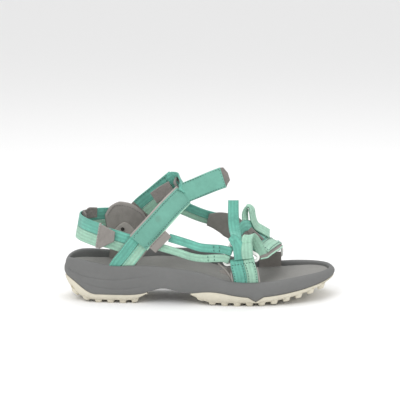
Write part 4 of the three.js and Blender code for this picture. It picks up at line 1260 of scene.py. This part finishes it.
class SANDAL_OT_outer_anchor(Operator):
    """Build the outer forefoot anchor: two webbings round the ring and the wide grey backing"""

    bl_idname = "sandal.outer_anchor"
    bl_label = "Outer anchor"

    def execute(self, context):
        route = anchor_route()
        strap = dict(route=route, across=[[-1, 0, -0.04]] * 3 + [[-0.991, 0, -0.13]] * (len(route) - 3))
        pair = dict(**strap, lift=MIDDLE, rows=140)
        sew("outer_anchor_teal", "Webbing teal", ["outer_anchor_webbing_teal"], **pair, low=-1.14,
            high=11.8)
        sew("outer_anchor_mint", "Webbing mint", ["outer_anchor_webbing_mint"], **pair, low=-11.8,
            high=-1.16)
        seam("outer_anchor_seams", "Thread dark teal", **strap,
            lines=[*runs(0.02, 0.37, 10.4, 0.6, -2.8, -10.4), crossing(0.39, 11, -11)],
            height=WEBBING / 2 + SEAM_RISE)
        sew("outer_anchor_wing", "Synthetic", ["outer_anchor_backing"],
            route=[[44.8, -39.7, 13.4], [44.8, -39.6, 22], [42.5, -37.4, 34], [40, -36.4, 41]],
            across=[[-1, 0, 0]] * 4, low=[-13, -13, -12.6, -11], high=[13, 13, 17, 23],
            thickness=BACKING, rows=60)
        hem = dict(route=[[44.8, -42.4, 13.4], [44.8, -42.4, 22], [43.4, -43.4, 31], [42.4, -44, 36]],
            across=[[-1, 0, 0]] * 4, thickness=1.5, rows=40, flat_steps=3)
        sew("outer_anchor_hem_front", "Edge tape", low=-13.6, high=-11.9, **hem)
        sew("outer_anchor_hem_back", "Edge tape", low=11.9, high=13.6, **hem)
        rim = dict(route=[[32, -40.2, 22], [29.5, -39.2, 28], [25, -38.2, 34.5], [17.6, -37.4, 41]],
            across=[[-0.9, 0, 0.35]] * 4, thickness=1.6, rows=40, flat_steps=3)
        sew("outer_wing_hem", "Edge tape", low=-0.9, high=0.9, **rim)
        return {"FINISHED"}


class SANDAL_OT_side_straps(Operator):
    """Build the side straps from the quarters to the rings, outer and inner"""

    bl_idname = "sandal.side_straps"
    bl_label = "Side straps"

    def execute(self, context):
        lean, out = [0.93, 0, -0.36], [0, -1, 0]
        teal = [[-30, -31.5, 65], [-26, -32, 64], [-12, -34, 60], [0, -36.5, 56.5], [10, -39.5, 56],
                [19, -44.5, 56.5], *turn_round(on_ring(RING_REAR, RING_TOP, 0.62), lean, out)]
        mint = [[-41, -32.5, 56.5], [-34, -32.5, 54.5], [-20, -34, 50.5], [-8, -36.5, 47], [4, -39.5, 46],
                [14, -44.5, 47.5], *turn_round(on_ring(RING_REAR, RING_TOP, 0.3), lean, out)]
        across = [[0, 0, 1]] * 5 + [[0.36, 0, 0.93]] * 6
        shape = dict(across=across, lift=MIDDLE, rows=150)
        sew("outer_side_teal", "Webbing teal", ["outer_side_strap_teal"], route=teal, low=-4.2,
            high=4.2, ripple=wave(0.5, 1.6), **shape)
        sew("outer_side_mint", "Webbing mint", ["outer_side_strap_mint"], route=mint, low=-3.8,
            high=3.8, ripple=wave(0.5, 1.3, 1), **shape)
        for name, route, side in (("teal", teal, 3.6), ("mint", mint, 3.2)):
            seam(f"outer_side_{name}_seam", "Thread dark teal", route=route, across=across,
                lines=[crossing(0.44, side, -side), crossing(0.5, side, -side)],
                height=WEBBING / 2 + SEAM_RISE)
        inner = dict(
            route=[[-39, 27.6, 92.6], [-26, 28, 86], [-12, 29.6, 79.5], [2, 34, 73], [14, 37.6, 69],
                   [26, 39.2, 66], [36, 40.4, 61]], across=[[-0.35, 0, -0.94]] * 7, rows=100)
        sew("inner_side_teal", "Webbing teal", ["inner_side_strap_teal"], low=-8.2, high=0.34, **inner)
        sew("inner_side_mint", "Webbing mint", ["inner_side_strap_mint"], low=0.36, high=5.6, **inner)
        return {"FINISHED"}


TOE_PAD_TOP = 2.8
TOE_PAD = dict(
    route=[[52, -32.4, 48.4], [55, -26, 51.6], [60, -13, 54.6], [65, 0, 54.8], [68.6, 13, 52.6],
           [70.8, 25, 47.8], [71.4, 33, 43]],
    across=[[-0.86, -0.2, 0.46], [-0.85, -0.15, 0.5], [-0.84, -0.1, 0.53], [-0.84, 0, 0.54],
            [-0.86, 0, 0.5], [-0.92, 0, 0.38], [-0.98, 0, 0.2]],
)


class SANDAL_OT_toe_pad(Operator):
    """Build the lined toe pad with its two sewn webbings"""

    bl_idname = "sandal.toe_pad"
    bl_label = "Toe pad"

    def execute(self, context):
        pad = ribbon("toe_pad_lining", **TOE_PAD, low=[-8, -13, -15, -15.5, -15, -13, -11],
            high=[8, 13, 15, 15, 14, 12, 11], thickness=2.4, rows=90, crown=0.3, flat_steps=20)
        place(pad, "Synthetic", ["toe_pad"], "synthetic_grey")
        rim = dict(**TOE_PAD, lift=0.6, thickness=1.6, rows=90, flat_steps=3)
        sew("toe_pad_binding", "Binding", slot="synthetic_grey",
            low=[-8.7, -13.7, -15.7, -16.2, -15.7, -13.7, -11.7],
            high=[-6.8, -11.8, -13.8, -14.3, -13.8, -11.8, -9.8], **rim)
        on_pad = dict(**TOE_PAD, lift=TOE_PAD_TOP, rows=100)
        sew("toe_strap_teal", "Webbing teal", ["toe_webbing_teal"], **on_pad, start=0.04, low=0.01,
            high=[7, 11.6, 11.8, 11.8, 11.4, 10.6])
        sew("toe_strap_mint", "Webbing mint", ["toe_webbing_mint"], **on_pad, start=0.22,
            low=[-10.6, -12, -12, -12, -11.6, -10.6], high=-0.01)
        seam("toe_strap_seams", "Thread dark teal", **TOE_PAD,
            lines=[*runs(0.24, 0.95, -1.4), *runs(0.26, 0.95, -10.2), *runs(0.1, 0.95, 1.4),
                   crossing(0.25, -10, -1), *runs(0.2, 0.95, 10.2)],
            height=TOE_PAD_TOP + WEBBING + SEAM_RISE)
        return {"FINISHED"}


class SANDAL_OT_toe_fastening(Operator):
    """Build the toe strap's turns round the outer ring, its standing end and its loop"""

    bl_idname = "sandal.toe_fastening"
    bl_label = "Toe fastening"

    def execute(self, context):
        down, steep, out = [-0.5, 0, -0.87], [-0.35, 0, -0.94], [0, -1, 0]
        standing = [[32.6, -18, 99.6], [32.6, -20.5, 86.6], [33, -24.5, 77], [34, -30.4, 71],
            [34.9, -37.6, 68], [36.4, -43.6, 65.2], *turn_round(on_ring(RING_TOP, RING_FRONT, 0.215),
            down, out), [38, -36.6, 61]]
        across = [[1, 0, -0.05]] * 4 + [[0.97, 0, -0.2]] + [[0.87, 0, -0.5]] * (len(standing) - 5)
        sew("toe_end_teal", "Webbing teal", ["toe_turn_teal", "toe_flap_teal"], body="toe_flap",
            blend=((0.0346, -0.0345, 0.0692), (0.0334, -0.0265, 0.0748)), route=standing, across=across,
            low=[-5.2, -5.6, -5.4, -4.4, -4.2], high=[5.2, 5.6, 5.4, 4.4, 4.2], lift=MIDDLE, rows=190)
        loop = [[60, -34, 48.6], [57, -34.6, 57], [52, -36.4, 65], [47.6, -39.6, 69],
            [45.4, -43.8, 66.8], [45, -46.2, 61.4], *turn_round(on_ring(RING_TOP, RING_FRONT, 0.46),
            steep, out), [44.6, -38, 54]]
        sew("toe_loop_mint", "Webbing mint", ["toe_turn_mint"], route=loop,
            across=[[0.98, 0, 0.1]] * 5 + [[0.94, 0, -0.35]] * (len(loop) - 5), low=-5.2, high=5.2,
            lift=MIDDLE, rows=190)
        tail = [[29.5, -43, 68], [33, -45, 65.5], [36, -46, 61], [37.5, -46, 55], [38.5, -45, 47]]
        sew("toe_end_tail", "Webbing teal", route=tail,
            across=[[0.72, 0, 0.69], [0.85, 0, 0.5], [0.97, 0, 0.2], [1, 0, 0], [1, 0, -0.1]],
            low=[-3.4, -5, -5.4, -5.6, -5.6], high=[3.8, 5.2, 5.4, 5.2, 5], lift=0.5, rows=60)
        front = [[45, -46.8, 63], [45, -47.2, 58], [45.4, -47, 52], [46, -46, 48]]
        sew("toe_loop_front", "Webbing mint", route=front, across=[[1, 0, 0]] * 4,
            low=[-4.6, -5.4, -5.6, -5.4], high=[5, 5.4, 5.6, 5.4], rows=50)
        bridge = [[38, -26, 69], [44, -18, 73.5], [50, -9, 72], [57, 0, 67], [64, 8, 61.5]]
        sew("toe_bridge_teal", "Webbing teal", route=bridge, across=[[0.45, 0.3, -0.84]] * 5, low=-6,
            high=5, rows=70, ripple=wave(0.5, 1.2))
        hook = dict(route=[[48, -20, 71], [54, -22, 65.5], [60.5, -22, 59.8]],
            across=[[0.5, 0.3, 0.8]] * 3, rows=40)
        sew("toe_hook_strip", "Hook tab", low=-3.2, high=3.2, thickness=1.3, **hook)
        # A near-black thin strip along the hook strip paints a line of shadow on it.
        sew("toe_hook_painted_shadow", "Painted shadow", low=-1, high=1.2, lift=0.8, thickness=0.8, start=0.3, end=0.93,
            **hook)
        peel = [[43.4, -13.4, 69], [44.4, -11, 77], [44.6, -8.6, 86], [47, -7.6, 90.6],
            [50.6, -6.6, 88], [52.4, -5.4, 79.6], [55.8, -3.4, 71.6], [62.6, 0, 66.5], [69, 3, 62.2]]
        lean = [[0.5, 0.85, 0.1]] * 5 + [[0.48, 0.85, 0.15], [0.4, 0.85, 0.3], [0.3, 0.85, 0.42],
            [0.3, 0.85, 0.42]]
        sew("toe_peel_mint", "Webbing mint", ["toe_flap_mint"], body="toe_loop",
            blend=((0.0702, 0.0036, 0.0612), (0.0655, 0.0014, 0.0642)), route=peel, across=lean,
            low=-5.6, high=5.6, lift=MIDDLE, rows=150)
        return {"FINISHED"}


class SANDAL_OT_inner_forefoot(Operator):
    """Build the inner forefoot anchor, the toe strap's inner turn and the inner wing"""

    bl_idname = "sandal.inner_forefoot"
    bl_label = "Inner forefoot"

    def execute(self, context):
        centre = INNER_RING_CENTRE
        low_bar, high_bar = centre - [0, 0, INNER_RING_HALF], centre + [0, 0, INNER_RING_HALF]
        up = [[71.8, 42.8, 13.6], [71.8, 43, 20], *turn_round(low_bar, [0, 0, 1], [0, 1, 0])[:4],
            [71.7, 39.2, 28.5]]
        strap = dict(route=up, across=[[1, 0, 0]] * len(up), lift=MIDDLE, rows=120)
        sew("inner_anchor_mint", "Webbing mint", ["inner_anchor_webbing_mint"], low=0.01, high=10,
            **strap)
        sew("inner_anchor_teal", "Webbing teal", ["inner_anchor_webbing_teal"], low=-10, high=-0.01,
            **strap)
        sew("inner_anchor_lining", "Synthetic", ["inner_anchor_backing"],
            route=[[71.8, 39.6, 13.6], [71.8, 38.9, 22], [71.7, 36.4, 32], [71.6, 35.4, 36]],
            across=[[1, 0, 0]] * 4, low=-11.4, high=11.4, thickness=BACKING, rows=50)
        turn = [[71.5, 36.8, 44], *turn_round(high_bar, [0, 0, -1], [0, -1, 0]), [71.5, 44.6, 46]]
        sew("inner_turn_teal", "Webbing teal", ["toe_turn_inner"], route=turn,
            across=[[1, 0, 0]] * len(turn), low=-10, high=10, lift=MIDDLE, rows=110)
        sew("inner_wing_lining", "Synthetic", ["inner_wing"],
            route=[[8, 34, 70], [18, 35.2, 68], [30, 36, 63], [43, 36.6, 52.5], [54, 37, 41]],
            across=[[-0.3, 0, -0.95], [-0.35, 0, -0.94], [-0.5, 0, -0.86], [-0.65, 0, -0.76],
                    [-0.7, 0, -0.71]], low=[-6, -10, -13, -11, -7], high=[6, 9, 12, 10.5, 8],
            thickness=BACKING, rows=70)
        return {"FINISHED"}


# ---------------------------------------------------------------- finishes and stage


class SANDAL_OT_finishes(Operator):
    """Make the shader groups and every finish"""

    bl_idname = "sandal.finishes"
    bl_label = "Finishes"

    def execute(self, context):
        make_weave_group()
        make_fade_group()
        make_grain_group()
        make_dust_group()
        tone = context.scene.sandal_colours
        dust = (0.30, 0.27, 0.21, 1.0)
        make_webbing("Webbing teal", tone.teal, shade(tone.teal, 1.4))
        make_webbing("Webbing mint", tone.mint, shade(tone.mint, 1.3))
        make_velour("Pile pad", tone.pile, stain_at=(-0.040, -0.030, 0.084))
        make_velour("Pile flap", shade(tone.pile, 1.1))
        make_velour("Binding", shade(tone.mint, 1.1))
        make_grained("Synthetic", tone.synthetic, roughness=0.7, scale=1400.0, depth=0.00012, worn=0.16)
        make_grained("Tag", shade(tone.synthetic, 1.05), roughness=0.75, scale=2600.0, depth=0.0001, worn=0.1)
        make_grained("Hook tab", shade(tone.synthetic, 0.85), roughness=0.9, scale=1100.0, depth=0.0005,
            worn=0.2, cells=1.0)
        make_grained("Foam", tone.foam, roughness=0.72, scale=1900.0, depth=0.00006, worn=0.07,
            cells=0.3, dusty=0.25, dust=dust)
        make_grained("Footbed", tone.footbed, roughness=0.8, scale=1500.0, depth=0.00012, worn=0.1, cells=0.6)
        make_grained("Tread rubber", tone.tread, roughness=0.78, scale=900.0, depth=0.00008, worn=0.1,
            cells=0.2, dusty=0.7, dust=dust)
        make_grained("Edge tape", shade(tone.synthetic, 1.45), roughness=0.85, scale=1800.0,
            depth=0.0002, worn=0.12)
        # Painted shadow: a near-black copy of the synthetic grey, for thin sheets laid where shade falls in
        # the hook tabs.
        make_grained("Painted shadow", shade(tone.synthetic, 0.2), roughness=0.95, scale=1200.0, depth=0.0004,
            worn=0.3, cells=1.0)
        # Painted shade: the instep ring is given a dark grey so that it reads as the shaded area round it.
        make_grained("Instep ring painted shade", shade(tone.synthetic, 0.7), roughness=0.45, scale=700.0,
            depth=0.00002, worn=0.06, cells=0.2)
        make_grained("Ring plastic", tone.ring, roughness=0.32, scale=700.0, depth=0.00002, worn=0.04,
            cells=0.2, specular=0.5)
        make_grained("Rivet", (0.035, 0.03, 0.028, 1.0), roughness=0.45, scale=1500.0, depth=0.00003,
            worn=0.2)
        make_grained("Shank", (0.03, 0.032, 0.035, 1.0), roughness=0.5, scale=1200.0, depth=0.00005, worn=0.1)
        make_grained("Gel", (0.05, 0.16, 0.26, 1.0), roughness=0.35, scale=600.0, depth=0.00005, worn=0.1)
        make_thread("Thread teal", shade(tone.teal, 1.3))
        make_thread("Thread dark teal", shade(tone.teal, 0.3))
        make_thread("Thread grey", shade(tone.synthetic, 0.6))
        return {"FINISHED"}


def area_light(name, spot, aim, size, watts):
    """A soft square lamp at a spot, turned towards its aim."""
    lamp = bpy.data.lights.new(name, "AREA")
    lamp.shape = "SQUARE"
    lamp.size = size
    lamp.energy = watts
    item = bpy.data.objects.new(name, lamp)
    bpy.context.scene.collection.objects.link(item)
    item.location = spot
    item.rotation_euler = (Vector(spot) - Vector(aim)).to_track_quat("Z", "Y").to_euler()


# Metres and watts: each lamp's name, place, aim, width and power.
LAMPS = (
    ("key", (-0.6, -1.0, 1.2), (0, 0, 0.04), 0.8, 7),
    ("fill", (1.0, -0.8, 0.7), (0, 0, 0.04), 0.8, 2),
    ("top", (0.1, 0.3, 1.5), (0, 0, 0), 1.0, 6),
)
FLOOR_REACH = 15.0
PALE = 0.9
SKY_STRENGTH = 0.9
CAMERA_AT = (0, -1.4162, 0.3514)
CAMERA_TILT = 79.8
LENS = 131.0
SENSOR = 36


class SANDAL_OT_stage(Operator):
    """Set the pale floor, the soft lamps and the camera"""

    bl_idname = "sandal.stage"
    bl_label = "Stage"

    def execute(self, context):
        scene = context.scene
        mesh = bpy.data.meshes.new("floor")
        corners = [(-1, -1), (1, -1), (1, 1), (-1, 1)]
        mesh.from_pydata([(x * FLOOR_REACH, y * FLOOR_REACH, 0) for x, y in corners], [], [(0, 1, 2, 3)])
        floor = bpy.data.objects.new("floor", mesh)
        scene.collection.objects.link(floor)
        pale, _, shader = start_material("Floor", 0.9, specular=0.1)
        shader.inputs["Base Color"].default_value = (PALE, PALE, PALE, 1)
        mesh.materials.append(pale)
        world = bpy.data.worlds.new("Studio")
        scene.world = world
        world.use_nodes = True
        sky = world.node_tree.nodes["Background"]
        sky.inputs[0].default_value = (1, 1, 1, 1)
        sky.inputs[1].default_value = SKY_STRENGTH
        for lamp in LAMPS:
            area_light(*lamp)
        camera = bpy.data.cameras.new("camera")
        camera.sensor_width = SENSOR
        camera.lens = LENS
        camera.clip_start = 0.01
        item = bpy.data.objects.new("camera", camera)
        item.location = CAMERA_AT
        item.rotation_euler = (math.radians(CAMERA_TILT), 0, 0)
        scene.collection.objects.link(item)
        scene.camera = item
        scene.view_settings.view_transform = "Standard"
        return {"FINISHED"}


# ---------------------------------------------------------------- settings, panel and run


def length(name, default, text):
    """A length setting."""
    return FloatProperty(name=name, description=text, default=default, min=0, unit="LENGTH", precision=5)


def tint(name, default, text):
    """A colour setting."""
    return FloatVectorProperty(name=name, description=text, default=default, size=4, min=0, max=1,
        subtype="COLOR")


class SandalSizes(PropertyGroup):
    """Sizes that change the look"""

    stitch_pitch: length("Stitch pitch", 0.0026, "Distance from one stitch to the next")
    thread_radius: length("Thread radius", 0.00038, "Half the thickness of the sewing thread")
    groove_depth: length("Groove depth", 0.0007, "Depth of the pressed lines along the foam")
    pad_swell: length("Pad swell", 0.0007, "How far the pile pad's face crowns")


class SandalColours(PropertyGroup):
    """Base colours of the finishes"""

    teal: tint("Teal", (0.15, 0.45, 0.36, 1), "Teal webbing")
    mint: tint("Mint", (0.35, 0.60, 0.46, 1), "Mint webbing")
    pile: tint("Pile", (0.148, 0.355, 0.285, 1), "Pile of the pad and the flap")
    synthetic: tint("Synthetic", (0.25, 0.232, 0.215, 1), "Backings, linings and tips")
    foam: tint("Foam", (0.158, 0.16, 0.158, 1), "Midsole")
    footbed: tint("Footbed", (0.245, 0.24, 0.228, 1), "Footbed")
    tread: tint("Tread", (0.66, 0.62, 0.51, 1), "Tread rubber")
    ring: tint("Ring", (0.83, 0.83, 0.8, 1), "Moulded rings")


STEPS = (SANDAL_OT_finishes, SANDAL_OT_stage, SANDAL_OT_sole, SANDAL_OT_outer_quarter,
    SANDAL_OT_instep_pad, SANDAL_OT_inner_quarter, SANDAL_OT_rings, SANDAL_OT_instep_keeper,
    SANDAL_OT_instep_flap, SANDAL_OT_heel_strap, SANDAL_OT_collar, SANDAL_OT_outer_anchor,
    SANDAL_OT_side_straps, SANDAL_OT_toe_pad, SANDAL_OT_toe_fastening, SANDAL_OT_inner_forefoot, )


class SANDAL_PT_panel(Panel):
    """The sandal's settings and steps"""

    bl_idname = "SANDAL_PT_panel"
    bl_label = "Sandal"
    bl_space_type = "VIEW_3D"
    bl_region_type = "UI"
    bl_category = "Sandal"

    def draw(self, context):
        for settings in (context.scene.sandal_sizes, context.scene.sandal_colours):
            for name in settings.__annotations__:
                self.layout.prop(settings, name)
        for step in STEPS:
            self.layout.operator(step.bl_idname)


CLASSES = (SandalSizes, SandalColours, *STEPS, SANDAL_PT_panel)


def register():
    """Registers the classes and hangs the settings on the scene."""
    for item in CLASSES:
        bpy.utils.register_class(item)
    bpy.types.Scene.sandal_sizes = PointerProperty(type=SandalSizes)
    bpy.types.Scene.sandal_colours = PointerProperty(type=SandalColours)


def unregister():
    """Takes the settings and the classes away again."""
    del bpy.types.Scene.sandal_colours
    del bpy.types.Scene.sandal_sizes
    for item in reversed(CLASSES):
        bpy.utils.unregister_class(item)


def main():
    register()
    for step in STEPS:
        area, name = step.bl_idname.split(".")
        getattr(getattr(bpy.ops, area), name)()


if __name__ == "__main__":
    main()
